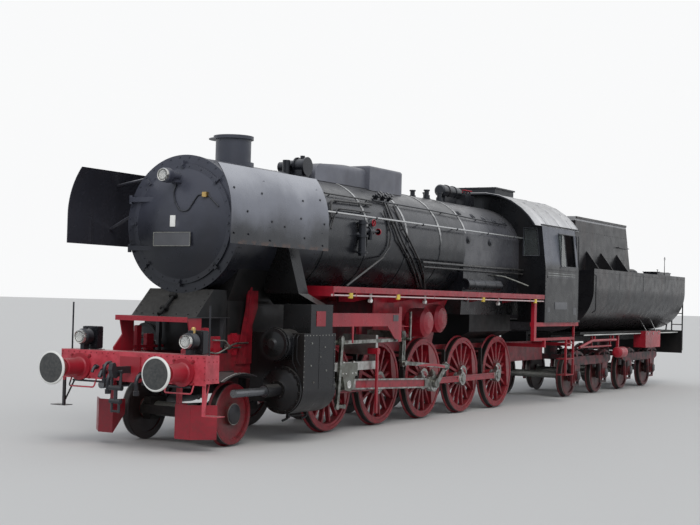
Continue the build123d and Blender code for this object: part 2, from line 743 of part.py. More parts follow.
def held_pipe(rows, radius, clip_rows, bend=120):
    """A pipe round the boiler on clips. Rows are (x, angle from the top to the left)."""
    line = pipe([boiler_point(x, angle) for x, angle in rows], radius, bend)
    for x, angle in clip_rows:
        clip = rod(boiler_point(x, angle, barrel_radius + seat_gap), boiler_point(x, angle), radius * 0.7)
        line = line + clip
    return line - barrel_envelope()


def handrail():
    y, z = -(barrel_radius + 40), 3400
    line = rod((smokebox_rear_x + 60, y, z), (cab_front_x - seat_gap, y, z), 16)
    for x in (-3500, -2200, -500, 900):
        line = line + rod((x, y, z), (x, -barrel_radius + 120, z), 10)
    return line - barrel_envelope() - firebox_envelope()


def boiler_pipes():
    """Pipes on both sides, and the bundle, feed and low pipes of the left side."""
    sand = held_pipe(((-3480, 49.3), (-2700, 49.4), (-1980, 49.9)), 13, ((-3300, 49.3), (-2100, 49.8)))
    delivery = held_pipe(((-3580, 76), (-3400, 57), (-2050, 55)), 20, ((-3200, 56.7), (-2200, 55.2)), 150)
    feed = held_pipe(((-3640, 86), (-3335, 65.3), (-2245, 64.8)), 14, ((-3200, 65.2), (-2500, 64.9)), 150)
    result = []
    for line in (sand, delivery, feed, handrail()):
        result += both(line)
    # x and angle from the top, along each pipe of the bundle behind the casing
    bundle = (
        ((-1480, 48), (-1560, 72), (-1380, 90), (-955, 106), (-520, 121), (120, 141)),
        ((-1390, 48), (-1450, 72), (-1250, 90), (-820, 106), (-400, 121), (240, 141)),
        ((-1230, 52), (-1170, 78), (-890, 93), (-525, 107), (-160, 121), (400, 142)))
    for rows in bundle:
        clips = (rows[1], rows[3])
        result.append(held_pipe(rows, 17, clips, 160))
    drop = pipe([
        boiler_point(-1700, 60), boiler_point(-1660, 84), boiler_point(-1700, 98), boiler_point(-1850, 108),
        (-3350, -1120, running_board_z + seat_gap + 18)], 17, 90)
    drop = drop + rod(boiler_point(-1672, 80, barrel_radius + seat_gap), boiler_point(-1672, 80), 12)
    result.append(drop - barrel_envelope())
    low_y = -(barrel_radius + 48)
    for z, front_x, radius in ((2740, -500, 24), (2660, -450, 18)):
        line = rod((front_x, low_y, z), (cab_front_x - seat_gap, low_y, z), radius)
        for x in (700, 2300, 3700):
            line = line + rod((x, low_y, z), (x, -firebox_half_width + 100, z), 10)
        result.append(line - barrel_envelope() - firebox_envelope())
    return result


# Cylinders, rods and valve gear
def cylinder():
    """One cylinder with its valve chest, covers, glands, top box and steam pipe casing."""
    y, z = cylinder_axis_y, cylinder_axis_z
    x0, x1 = cylinder_front_x, cylinder_rear_x
    inner_y = frame_out_y + seat_gap
    low_z = 560
    low_y = y - sqrt(cylinder_radius ** 2 - (z - low_z) ** 2)
    belly = ThreePointArc((low_y, low_z), (y, z - cylinder_radius), (cylinder_face_y, z))
    rest = Polyline((cylinder_face_y, z), (cylinder_face_y, 1560), (inner_y, 1560), (inner_y, low_z), (low_y, low_z))
    casing = along_x(make_face(Plane.YZ * (belly + rest)), x0, x1)
    front_cover = turned([
        (x0 + 1, 340), (x0 - 45, 340), (x0 - 45, 300), (x0 - 65, 260), (x0 - 110, 150), (x0 - 120, 130),
        (x0 - 140, 130), (x0 - 140, 90), (x0 - 480, 90), (x0 - 480, 55), (x0 - 1210, 55)], y, z)
    rear_cover = turned([(x1 - 1, 340), (x1 + 50, 340), (x1 + 50, 150), (x1 + 70, 95), (x1 + 120, 95)], y, z)
    valve = turned([
        (x0 - 320, 60), (x0 - 295, 90), (x0 - 260, 180), (x0 - 260, 225), (x0 - 220, 225), (x0 - 220, valve_radius),
        (x0 - 180, valve_radius), (x0 - 180, 215), (x1 + 50, 215), (x1 + 50, valve_radius),
        (x1 + 90, valve_radius), (x1 + 90, 120), (x1 + 150, 60)], y, valve_axis_z)
    valve_rod = rod((x1 + 60, y, valve_axis_z), (x1 + 340 - seat_gap, y, valve_axis_z), 35)
    top_box = block(-5005, -4393, 1030, cylinder_face_y, 1550, 1975)
    body = fused([casing, front_cover, rear_cover, valve, valve_rod, top_box, steam_pipe_casing()])
    bore = rod((x0 + 100, y, z), (x1 + 200, y, z), piston_rod_radius + running_clearance)
    return body - bore


def steam_pipe_casing():
    """The boxed steam pipe that runs down from the smokebox and spreads on to the top box."""
    inner_y = 660
    # z, front x, rear x, outer y of each section
    sections = ((2800, -5050, -4780, 1108), (2126, -4955, -4690, 1250), (1960, -4700, -4440, 1440))
    faces = []
    for z, front_x, rear_x, outer_y in sections:
        corner_points = [(front_x, inner_y), (rear_x, inner_y), (rear_x, outer_y), (front_x, outer_y)]
        faces.append(Pos(0, 0, z) * make_face(Polyline(*corner_points, close=True)))
    casing = loft([faces[0], faces[1]]) + loft([faces[1], faces[2]])
    return casing - smokebox_envelope() - saddle_block(seat_gap)


def slide_bar():
    y = cylinder_axis_y
    half = 60
    top_z = slide_bar_z + slide_bar_depth
    bracket_x = slide_bar_rear_x - 120
    bar = block(cylinder_rear_x + 50 + seat_gap, slide_bar_rear_x, y - half, y + half, slide_bar_z, top_z)
    hanger = block(bracket_x, bracket_x + 70, y - half, y + half, top_z, 1500)
    bracket = block(bracket_x, bracket_x + 70, frame_out_y + seat_gap, y + half, 1180, 1500)
    return fused([bar, hanger, bracket])


def crosshead_pin_x(side):
    dx, dz = crank_offset(side)
    rise = coupled_radius + dz - cylinder_axis_z
    return dx - sqrt(main_rod_length ** 2 - rise ** 2)


def crosshead(side):
    """The shoe round the slide bar, the forked head with its pin, and the piston rod."""
    y, z = cylinder_axis_y, cylinder_axis_z
    x = crosshead_pin_x(side)
    shoe_half, head_half = 260, 120
    shoe_low_z = slide_bar_z - 80
    bar_side = 60 + running_clearance
    pieces = [block(x - shoe_half, x + shoe_half, y - 90, y + 90, shoe_low_z, slide_bar_z - running_clearance)]
    for way in (-1, 1):
        pieces.append(block(x - shoe_half, x + shoe_half, y + way * bar_side, y + way * 100, shoe_low_z,
                            slide_bar_z + slide_bar_depth - 10))
        cheek = side_plate([(x - head_half, z - 80), (x + 60, z - 110), (x + head_half, z - 60),
                            (x + 200, shoe_low_z + 20), (x - 200, shoe_low_z + 20)], y + way * 65, y + way * 100)
        pieces.append(cheek)
    pieces.append(rod((x - 260, y, z), (x - head_half, y, z), 75))
    pieces.append(block(x - head_half - 10, x - head_half + 10, y - 100, y + 100, z - 80, shoe_low_z + 20))
    pieces.append(across(x, z, y - 100, y + 100, crosshead_pin_radius))
    pieces.append(rod((x - 1350, y, z), (x - 200, y, z), piston_rod_radius))
    return one_side(fused(pieces), side)


def main_rod(side):
    """An I-section rod from the crosshead pin to the big end, with the stub of its crank pin."""
    dx, dz = crank_offset(side)
    y = main_rod_mid
    pin_x = crosshead_pin_x(side)
    big_x, big_z = dx, coupled_radius + dz
    slope = atan2(big_z - cylinder_axis_z, big_x - pin_x)

    def at(distance, offset):
        return (pin_x + cos(slope) * distance - sin(slope) * offset,
                cylinder_axis_z + sin(slope) * distance + cos(slope) * offset)

    half = main_rod_depth / 2
    end = main_rod_length
    start = 130
    bar = side_plate([at(0, 62), at(start, 62), at(start + 130, half), at(end - 260, half), at(end - 150, half + 28),
                      at(end, half + 28), at(end, -half - 28), at(end - 150, -half - 28), at(end - 260, -half),
                      at(start + 130, -half), at(start, -62), at(0, -62)], y - 35, y + 35)
    pocket = [at(start + 190, half - 24), at(end - 330, half - 24), at(end - 330, 24 - half), at(start + 190, 24 - half)]
    for way in (-1, 1):
        bar = bar - side_plate(pocket, y + way * 14, y + way * 40)
    small_end = across(pin_x, cylinder_axis_z, y - 50, y + 50, 95)
    big_end = across(big_x, big_z, y - main_rod_width / 2, y + main_rod_width / 2, 150)
    pin_start = wheel_face_y + pin_length + moving_clearance
    big_end = big_end + across(big_x, big_z, pin_start, y, crank_pin_radius)
    bore = across(pin_x, cylinder_axis_z, y - 80, y + 80, crosshead_pin_radius + running_clearance)
    return one_side(bar + small_end + big_end - bore, side)


def side_rod(side):
    """The coupling rod of five wheels, fluted between its bosses, with an oil cup on each boss."""
    dx, dz = crank_offset(side)
    y = side_rod_mid
    z = coupled_radius + dz
    half = side_rod_depth / 2
    boss = 125
    pins = [x + dx for x in coupled_axles]
    shape = block(pins[0], pins[-1], y - 25, y + 25, z - half, z + half)
    for first, second in zip(pins, pins[1:]):
        for way in (-1, 1):
            shape = shape - block(first + boss + 60, second - boss - 60, y + way * 13, y + way * 30,
                                  z - half + 20, z + half - 20)
    for x in pins:
        shape = shape + across(x, z, y - side_rod_width / 2, y + side_rod_width / 2, boss)
        shape = shape + block(x - 42, x + 42, y - 32, y + 32, z + boss - 25, z + boss + 45)
    for x in pins:
        shape = shape - across(x, z, y - 100, y + 100, crank_pin_radius + running_clearance)
    return one_side(shape, side)


def bar(start, end, width, thick, y_mid):
    """A flat bar with round ends between two (x, z) points."""
    angle = atan2(end[1] - start[1], end[0] - start[0])
    nx, nz = -sin(angle) * width / 2, cos(angle) * width / 2
    low, high = y_mid - thick / 2, y_mid + thick / 2
    plate = side_plate([(start[0] + nx, start[1] + nz), (end[0] + nx, end[1] + nz), (end[0] - nx, end[1] - nz),
                        (start[0] - nx, start[1] - nz)], low, high)
    for x, z in (start, end):
        plate = plate + across(x, z, low, high, width * 0.75)
    return plate


def expansion_link(y):
    """The curved, slotted link with its trunnions."""
    radius, half_height = 1500, 250
    centre_x, centre_z = link_x - radius, 1310
    def edge(offset):
        reach = radius + offset
        x = centre_x + sqrt(reach ** 2 - half_height ** 2)
        return ThreePointArc((x, centre_z - half_height), (centre_x + reach, centre_z), (x, centre_z + half_height))

    def band(low, high):
        inner, outer = edge(low), edge(high)
        ends = Polyline(inner @ 0, outer @ 0) + Polyline(inner @ 1, outer @ 1)
        return Pos(0, y - 30, 0) * extrude(make_face(Plane.XZ * (inner + outer + ends)), 60, dir=(0, 1, 0))

    slot = band(-16, 16) & block(centre_x, link_x + 100, y - 40, y + 40, centre_z - 190, centre_z + 190)
    return band(-55, 55) - slot


def valve_gear(side):
    """Return crank, eccentric rod, link, radius rod, combination lever and union link."""
    dx, dz = crank_offset(side)
    y = valve_gear_y
    z = coupled_radius
    outer_y = y + 50
    crank_pin = (dx, z + dz)
    return_pin = (0, z + 220)
    link_foot = (link_x + 10, 1030)
    lever_top = (-3750, valve_axis_z + 60)
    lever_foot = (-3850, 440)
    pieces = [
        bar(crank_pin, return_pin, 110, 50, y),
        bar(return_pin, link_foot, 62, 50, outer_y),
        across(return_pin[0], return_pin[1], y, outer_y, 60),
        across(link_foot[0], link_foot[1], y, outer_y, 30),
        bar(link_foot, (link_x, 1100), 80, 50, y),
        expansion_link(y),
        bar((link_x, valve_axis_z + 20), (-3750, valve_axis_z), 56, 50, y),
        block(link_x - 60, link_x + 60, frame_out_y + seat_gap, y, 1440, 1560),
        bar(lever_top, lever_foot, 64, 40, y + 55),
        across(lever_top[0], lever_top[1], y, y + 60, 20),
        bar(lever_foot, (-3640, 430), 46, 34, y + 55),
        bar((-1560, 1430), (-1560, 1860), 34, 30, y + 94),
        across(-1560, 1430, y, y + 94, 24),
        block(-3960, -3700, cylinder_axis_y, y, valve_axis_z - 35, valve_axis_z + 35)]
    return one_side(fused(pieces), side)


def motion_bracket():
    """The girder outboard of the wheels that carries the valve gear, with its posts and stays."""
    y, top = motion_beam_y, motion_beam_top_z
    front_x, rear_x = cylinder_rear_x + seat_gap, -1935
    thick = 12
    web = side_plate([(front_x, top), (rear_x, top), (rear_x, top - 195), (-3700, top - 205), (front_x, top - 190)],
                     y, y + thick)
    top_flange = block(front_x, rear_x, y - 90, y + thick, top - thick, top)
    low_flange = side_plate([(front_x, top - 202), (rear_x - 100, top - 207), (-1470, top - 222), (-1470, top - 210),
                             (rear_x - 100, top - 195), (front_x, top - 190)], y - 90, y + thick)
    post = side_plate([(rear_x, 1390), (rear_x + 100, 1390), (rear_x + 100, 1960), (rear_x, 1960)], y, y + thick)
    gusset = side_plate([(-2330, top - 200), (rear_x + 1, top - 200), (rear_x + 1, 1420), (-2060, 1440)], y, y + thick)
    end_post = block(-1482, -1470, y - 90, y + thick, top - 222, top + 20)
    pieces = [web, top_flange, low_flange, post, gusset, end_post]
    for x in (-3400, -1935):
        pieces.append(block(x - 40, x + 40, frame_out_y - 30, y, top - 150, top - 70))
        pieces.append(block(x - 40, x + 40, frame_out_y - 60, frame_out_y, frame_top_z + seat_gap, top - 70))
    pieces.append(side_plate([(-3470, top - 200), (-3420, top - 200), (-3430, 1390), (-3460, 1390)], y, y + thick))
    return fused(pieces)


def guard_bar():
    """The upright bar outside the main rod, held at the slide bar's bracket."""
    x0, x1 = slide_bar_rear_x - 210, slide_bar_rear_x - 120 - seat_gap
    inner_y, outer_y = 1260, 1292
    upright = block(x0, x0 + 54, inner_y, outer_y, 260, 1300)
    lug = block(x0, x1, cylinder_axis_y - 40, outer_y, 1200, 1290)
    return upright + lug


# Running boards, tanks and brakes
def running_board():
    """The board on its brackets, with the fascia, the turned-in front end and the pipe below."""
    x0, x1 = running_board_front_x, cab_front_x - 30
    top, sheet = running_board_z, running_board_sheet
    y = running_board_half_width
    pieces = [
        block(x0, x1, 1000, y, top - sheet, top),
        block(x0, x1, y - sheet, y, top - fascia_height, top),
        block(x0, x0 + sheet, 1000, y, top - fascia_height - 60, top)]
    for x in (-3700, -2390, -1000, 330, 1700, 3300):
        pieces.append(cross_plate([(430, top - sheet), (y - 20, top - sheet), (y - 20, top - 80), (700, 2020),
                                   (430, 2020)], x - 10, x + 10))
        pieces.append(block(x - 10, x + 10, y - 60, y - 4, top - 150, top - 70))
    pieces.append(rod((x0 + 50, y - 22, top - 130), (x1, y - 22, top - 130), 13))
    board = fused(pieces) - banded_envelope() - firebox_envelope()
    return board - block(-1520, 1600, frame_out_y - 20 - seat_gap, frame_out_y + seat_gap, 1200, 2180 + seat_gap)


def air_reservoir(x, y, z, length):
    """A cross tank with dished ends, on an arm from the boiler's carrier sheet."""
    radius = 250
    inner = y - length
    profile = [(inner, 120), (inner + 30, 200), (inner + 80, radius), (y - 70, radius), (y - 25, 190), (y, 90)]
    tank = Rot(0, 0, 90) * turned(profile, 0, 0)
    arm = block(x - 50, x + 50, frame_out_y + seat_gap, inner + 120, z - 30, z + 30)
    return Pos(x, 0, z) * tank + arm


def air_reservoirs():
    tanks = []
    # x, y of the outer end, z, length of each tank
    for x, y, z, length in ((-660, 1250, 1690, 440), (160, 1120, 1760, 380)):
        tanks += both(air_reservoir(x, y, z, length))
    return tanks


def brake_gear():
    hangers = []
    for x in coupled_axles:
        face = x - coupled_radius - 5
        drum = across(x, coupled_radius, -1000, 1000, coupled_radius + 4)
        shoe = block(face - 60, face, 730, 810, 540, 860)
        hanger = block(face - 60, face - 20, 740, 800, 540, 1180)
        pin = across(face - 40, 1160, frame_out_y + seat_gap, 800, 25)
        hangers += both(hanger + shoe + pin - drum)
    return hangers


# Cab
def roof_outline(inset, low_z):
    """The roof's section: a flat middle and an arc down to each eaves."""
    half = cab_eaves_half_width - inset
    crown = cab_crown_z - inset
    flat = 250
    arc = ThreePointArc((half, low_z), (916, crown - 188), (flat, crown))
    far = ThreePointArc((-flat, crown), (-916, crown - 188), (-half, low_z))
    lines = Polyline((flat, crown), (-flat, crown)) + Polyline((-half, low_z), (half, low_z))
    return make_face(Plane.YZ * (arc + far + lines))


def cab_side():
    """An upright lower panel and a leaning upper one, cut for the side window."""
    x0, x1 = cab_front_x, cab_rear_x
    outer, eaves = cab_half_width, cab_eaves_half_width
    wall = cross_plate([
        (outer, cab_floor_z), (outer, cab_sill_z), (eaves, cab_eaves_z), (eaves - cab_wall, cab_eaves_z),
        (outer - cab_wall, cab_sill_z), (outer - cab_wall, cab_floor_z)], x0, x1)
    return wall - block(4980, 5850, eaves - 200, outer + 200, cab_sill_z + 60, cab_eaves_z - 110)


def front_wall():
    x0, x1 = cab_front_x, cab_front_x + cab_wall
    outer, eaves = cab_half_width - 10, cab_eaves_half_width - 10
    lower = cross_plate([(-outer, cab_floor_z), (outer, cab_floor_z), (outer, cab_sill_z), (eaves, cab_eaves_z),
                         (-eaves, cab_eaves_z), (-outer, cab_sill_z)], x0, x1)
    wall = along_x(roof_outline(roof_sheet + 1, cab_eaves_z), x0, x1) + lower - firebox_envelope()
    window = cross_plate([(1010, 3050), (1345, 3050), (1290, 3600), (1010, 3600)], x0 - 10, x1 + 10)
    return wall - window - mirrored(window)


def cab_roof():
    roof = along_x(roof_outline(0, cab_eaves_z), roof_front_x, roof_rear_x)
    hollow = along_x(roof_outline(roof_sheet, cab_eaves_z - 5), roof_front_x - 10, roof_rear_x + 10)
    vent = block(3950, 4930, -400, 400, cab_crown_z - 20, cab_crown_z + 110)
    lid = block(3930, 4950, -430, 430, cab_crown_z + 110, cab_crown_z + 140)
    gutter = block(roof_front_x + 350, roof_rear_x - 40, cab_eaves_half_width, cab_eaves_half_width + 16,
                   cab_eaves_z + 20, cab_eaves_z + 42)
    return fused([roof - hollow, vent, lid] + both(gutter + block(
        roof_front_x + 350, roof_rear_x - 40, cab_eaves_half_width - 14, cab_eaves_half_width + 4,
        cab_eaves_z + 20, cab_eaves_z + 42)))


def cab_shell():
    floor = block(cab_front_x, cab_rear_x + 250, -cab_half_width + cab_wall, cab_half_width - cab_wall,
                  cab_floor_z, cab_floor_z + 40)
    column_y = cab_half_width - 30
    column = block(cab_rear_x - 10, cab_rear_x + 30, column_y - 30, column_y, cab_floor_z, cab_sill_z)
    wall = front_wall() - cab_roof()
    return fused(both(cab_side() + column) + [wall, floor - firebox_envelope()])


def cab_step():
    """The beams under the cab, the front column, and the steps between the rear hangers."""
    y = cab_half_width - 40
    top = cab_floor_z - seat_gap
    front_x, rear_x = 3620, cab_rear_x - 50
    pieces = [
        block(front_x, cab_rear_x + 170, y - 90, y, 1610, top),
        block(front_x, rear_x, y - 70, y, 1320, 1375),
        block(rear_x - 40, rear_x, y - 40, y, 560, top),
        block(rear_x - 480, rear_x - 440, y - 40, y, 560, 1330),
        block(front_x, front_x + 120, y - 70, y, 1320, running_board_z - fascia_height - 60)]
    for z in (560, 900, 1230):
        pieces.append(block(rear_x - 480, rear_x, y - 220, y, z, z + 22))
    for x in (4240, rear_x - 240):
        pieces.append(block(x - 30, x + 30, frame_out_y + seat_gap, y - 40, 1180, 1250))
        pieces.append(block(x - 30, x + 30, y - 60, y, 1180, 1330))
    return fused(pieces)


def backhead():
    """The firebox's rear plate in the cab, with its fire door, gauges and regulator gland."""
    x0 = cab_front_x + firebox_overlap + seat_gap
    x1 = x0 + 90
    pieces = [block(x0, x1, -850, 850, 1850, 3600), block(x1, x1 + 50, -250, 250, 2200, 2600)]
    for y in (-420, 420):
        pieces.append(rod((x1 + 60, y, 2900), (x1 + 60, y, 3250), 28))
        pieces.append(block(x1 - 5, x1 + 70, y - 30, y + 30, 2880, 2920))
        pieces.append(block(x1 - 5, x1 + 70, y - 30, y + 30, 3230, 3270))
    pieces.append(turned([(x1 - 5, 90), (x1 + 50, 90), (x1 + 50, 40), (x1 + 90, 40)], 0, 3150))
    return fused(pieces)


# Tender
def tender_frame():
    pieces = []
    top = tub_base_z - seat_gap
    for side, _ in sides:
        pieces.append(block(7000, tender_beam_x - 30, side * 440, side * 520, 1200, top))
        pieces.append(block(7170, 14500, side * 480, side * 1150, 1400, top))
        pieces.append(block(7000, 14500, side * 1100, side * 1290, 1370, 1402))
    for x in (7030, 8350, 10250, 12150, 14480):
        pieces.append(block(x - 60, x + 60, -480, 480, 1220, 1430))
    for x in bogie_centres:
        pieces.append(rod((x, 0, bogie_pivot_z), (x, 0, 1230), 160))
    pieces.append(block(drawbar_pin_x - 120, 7100, -110, 110, drawbar_z - 45, drawbar_z + 45))
    pieces.append(block(7000, 7180, -1290, 1290, 1370, 1402))
    rear = block(tender_beam_x - 30, tender_beam_x, -1400, 1400, 830, 1440)
    pin_hole = rod((drawbar_pin_x, 0, 1100), (drawbar_pin_x, 0, 1500), drawbar_pin_radius + running_clearance)
    return fused(pieces) + rear - pin_hole


def drag_box():
    x0 = 6075 + seat_gap
    x1 = drawbar_pin_x + 130
    pieces = [
        block(x0, x1, -300, 300, 1080, 1180), block(x0, x1, -300, 300, 1390, 1450),
        block(x0, x0 + 100, -300, 300, 1080, 1450),
        rod((drawbar_pin_x, 0, 1100), (drawbar_pin_x, 0, 1440), drawbar_pin_radius)]
    return fused(pieces)


def tender_tub():
    """The water tub: upright sides that turn under in an arc, and a rim round its deck."""
    half, base, radius, top = tub_half_width, tub_base_z, tub_corner_radius, tub_top_z
    centre_y, centre_z = half - radius, base + radius
    corner = radius * cos(radians(45))
    near = ThreePointArc((half, centre_z), (centre_y + corner, centre_z - corner), (centre_y, base))
    far = ThreePointArc((-centre_y, base), (-centre_y - corner, centre_z - corner), (-half, centre_z))
    lines = Polyline((centre_y, base), (-centre_y, base)) + Polyline(
        (-half, centre_z), (-half, top), (half, top), (half, centre_z))
    tub = along_x(make_face(Plane.YZ * (near + far + lines)), tub_front_x, tub_rear_x)
    deck = top + seat_gap
    rim = block(tub_front_x, tub_rear_x, half - 30, half, deck, deck + 35)
    vent_x, vent_y = 12720, -520
    vent = turned([(0, 190), (70, 190), (140, 150), (180, 80), (190, 30)], 0, 0)
    vent = Pos(vent_x, vent_y, deck) * Rot(0, -90, 0) * vent
    gauge = rod((13344, -1230, deck), (13344, -1230, deck + 300), 9)
    return [tub, vent, gauge] + both(rim)


def coal_bunker():
    """The open bunker with its sloping rear sheet and the gussets down to the tub's deck."""
    half, low, high, sheet = bunker_half_width, tub_top_z, bunker_top_z, bunker_sheet
    outer = side_plate([(bunker_front_x, low), (bunker_front_x, high), (bunker_rear_top_x, high),
                        (bunker_rear_low_x, low)], -half, half)
    inner = side_plate([(bunker_front_x + sheet, low + sheet), (bunker_front_x + sheet, high + 10),
                        (bunker_rear_top_x - sheet, high + 10), (bunker_rear_low_x - sheet - 40, low + sheet)],
                       sheet - half, half - sheet)
    bunker = outer - inner
    gusset_reach, gusset_height, gusset_sheet = 1250, 480, 12
    for x in (8200, 9200, 10370):
        gusset = cross_plate([(half - 5, low), (gusset_reach, low), (half - 5, low + gusset_height)],
                             x - gusset_sheet, x + gusset_sheet)
        bunker = bunker + gusset + mirrored(gusset)
    shelf = block(10370, 11150, half - 5, half + 60, low + 640, low + 660)
    return bunker + shelf + mirrored(shelf)


def filler():
    """The long water filler, a coaming open at the top."""
    z0, z1 = tub_top_z, tub_top_z + filler_height
    x0, x1, y0, y1 = filler_front_x, filler_rear_x, filler_outer_y, filler_inner_y
    wall = filler_wall
    return block(x0, x1, y0, y1, z0, z1) - block(x0 + wall, x1 - wall, y0 + wall, y1 - wall, z0 + 20, z1 + 10)


def filler_lid():
    z = tub_top_z + filler_height + seat_gap
    x0, x1 = filler_front_x - 15, filler_rear_x + 15
    edge_y, knuckle = filler_hinge_y + 5, filler_knuckle_radius
    lid = block(x0, x1, filler_outer_y - 15, edge_y, z, z + 16)
    for x in (x0 + 200, x1 - 200):
        lid = lid + block(x - 25, x + 25, filler_outer_y - 10, edge_y, z + 15, z + 26)
    lid = lid + rod((x0, filler_hinge_y, filler_hinge_z), (x1, filler_hinge_y, filler_hinge_z), knuckle)
    handle_x = (x0 + x1) / 2
    handle = rod((handle_x, -950, z + 10), (handle_x, -950, z + 90), 9)
    return lid + handle + rod((handle_x - 60, -950, z + 88), (handle_x + 60, -950, z + 88), 9)


def tender_ladder():
    x = tub_rear_x + 60
    near_y, far_y = -1380, -1090
    rungs, first_rung_z, rung_spacing = 7, 1000, 300
    pieces = [rod((x, y, 900), (x, y, 2840), 18) for y in (near_y, far_y)]
    for index in range(rungs):
        z = first_rung_z + index * rung_spacing
        pieces.append(rod((x, near_y, z), (x, far_y, z), 12))
    for y in (near_y, far_y):
        pieces.append(rod((tub_rear_x + seat_gap, y, 2700), (x, y, 2700), 12))
    return fused(pieces)


def tender_fittings():
    """The tool box, air tank and pipes hung under the tender's left sill."""
    sill_z = 1370 - seat_gap
    tool_box = block(11190, 12436, -1420, -1111, 1041, 1450) - block(11000, 12600, -1292, -1000, sill_z, 1500)
    tank = turned([(9330, 60), (9345, 110), (9380, 130), (9800, 130), (9835, 110), (9850, 60)], -1290, 960)
    strap = block(9560, 9620, -1250, -1190, 1040, sill_z)
    upper = pipe([(6800, -1270, 1120), (7645, -1270, 1262), (9300, -1270, 1262)], 30, 200)
    lower = rod((7050, -1200, 1120), (9150, -1200, 1120), 24)
    for x in (7800, 9100):
        upper = upper + block(x - 15, x + 15, -1285, -1240, 1262, sill_z)
        lower = lower + block(x - 15, x + 15, -1215, -1180, 1120, sill_z)
    hoop = pipe([(12500, -1290, sill_z), (12500, -1290, 1060), (12800, -1290, 1060), (12800, -1290, sill_z)], 20, 60)
    return [tool_box, tank + strap, upper, lower, hoop]


def bogie_side(z):
    """A side frame, drawn about the bogie's middle: beam, horn guides, axle boxes and springs."""
    y = bogie_side_y
    half_thick = 25
    pieces = [side_plate([(-1450, z + 300), (-1450, z + 400), (-1300, z + 430), (1300, z + 430), (1450, z + 400),
                          (1450, z + 300), (1250, z + 230), (-1250, z + 230)], y - half_thick, y + half_thick)]
    for dx in axle_offsets:
        for way in (-1, 1):
            guide = side_plate([(dx + way * 155, z - 190), (dx + way * 205, z - 190), (dx + way * 290, z + 240),
                                (dx + way * 155, z + 240)], y - half_thick, y + half_thick)
            pieces.append(guide)
        pieces.append(block(dx - 205, dx + 205, y - half_thick, y + half_thick, z - 230, z - 185))
        pieces.append(block(dx - 156, dx + 156, 850, 1010, z - 130, z + 240))
        pieces.append(Pos(0, 1005, 0) * extrude(Pos(dx, 0, z) * (Rot(90, 0, 0) * Circle(115)), 45, dir=(0, 1, 0)))
        over = ThreePointArc((dx - 420, z + 470), (dx, z + 560), (dx + 420, z + 470))
        under = ThreePointArc((dx + 420, z + 425), (dx, z + 500), (dx - 420, z + 425))
        ends = Polyline((dx + 420, z + 470), (dx + 420, z + 425)) + Polyline((dx - 420, z + 425), (dx - 420, z + 470))
        spring = make_face(Plane.XZ * (over + under + ends))
        pieces.append(Pos(0, y - 40, 0) * extrude(spring, 80, dir=(0, 1, 0)))
        pieces.append(block(dx - 45, dx + 45, y - 45, y + 45, z + 425, z + 575))
    return fused(pieces)


def bogie_frame(centre_x):
    z = tender_radius
    pieces = both(bogie_side(z))
    pieces.append(block(-150, 150, -bogie_side_y, bogie_side_y, z + 310, z + 430))
    pieces.append(rod((0, 0, z + 400), (0, 0, bogie_pivot_z - seat_gap), 150))
    frame = fused(pieces)
    for dx in axle_offsets:
        frame = frame - across(dx, z, -1005, 1005, tender_journal_radius + running_clearance)
    return Pos(centre_x, 0, 0) * frame


save("main_frame", main_frame())
save("drag_box", drag_box())
save("leading_truck", leading_truck())
save("buffer_beam", buffer_beam())
save("front_buffers", *buffers(front_buffer_x, beam_front_x - seat_gap, -1))
save("front_coupling", Pos(beam_front_x - seat_gap, 0, 0) * coupling())
save("front_platform", front_platform())
save("rail_guards", *both(rail_guard()))
save("smokebox", smokebox())
save("smokebox_door", smokebox_door())
save("smokebox_saddle", smokebox_saddle())
save("chimney", chimney())
save("chimney_cover", chimney_cover())
save("boiler_barrel", boiler_barrel())
save("firebox", firebox())
save("ashpan", ashpan())
save("dome_casing", dome_casing())
save("boiler_fittings", *boiler_fittings())
save("boiler_pipes", *boiler_pipes())
save("smoke_deflectors", *both(smoke_deflector()))
save("running_boards", *both(running_board()))
save("cylinders", *both(cylinder()))
save("slide_bars", *both(slide_bar()))
save("motion_brackets", *both(motion_bracket()), *both(guard_bar()))
save("valve_gear", valve_gear(left), valve_gear(right))
for side, name in sides:
    save(f"crosshead_{name}", crosshead(side))
    save(f"main_rod_{name}", main_rod(side))
    save(f"side_rod_{name}", side_rod(side))
save("cab_shell", cab_shell())
save("cab_roof", cab_roof())
save("cab_steps", *both(cab_step()))
save("backhead", backhead())
save("air_reservoirs", *air_reservoirs())
save("beam_lamps", *beam_lamps())
save("brake_gear", *brake_gear())
save("leading_wheelset", *wheelset(leading_axle_x, leading_radius, 0, 150, 75))
spoke_count, hub_size, rim_depth = 15, 170, 110
for index, x in enumerate(coupled_axles, start=1):
    weight_depth = 330 if x == 0 else 150
    solids = wheelset(x, coupled_radius, spoke_count, hub_size, rim_depth, weight_depth, True)
    save(f"coupled_wheelset_{index}", *solids)
save("tender_frame", tender_frame())
save("tender_tub", *tender_tub())
save("coal_bunker", coal_bunker())
save("tender_filler", filler())
save("tender_filler_lid", filler_lid())
save("tender_ladder", tender_ladder())
save("tender_fittings", *tender_fittings())
save("tender_buffers", *buffers(rear_buffer_x, tender_beam_x + seat_gap, 1))
save("tender_coupling", Pos(tender_beam_x + seat_gap, 0, 0) * Rot(0, 0, 180) * coupling())
for index, centre in enumerate(bogie_centres, start=1):
    save(f"bogie_frame_{index}", bogie_frame(centre))
tender_axles = [centre + offset for centre in bogie_centres for offset in axle_offsets]
for index, x in enumerate(tender_axles, start=1):
    save(f"tender_wheelset_{index}", *tender_wheelset(x))
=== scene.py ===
import json
import math

import bmesh
import bpy
from mathutils import Matrix, Vector


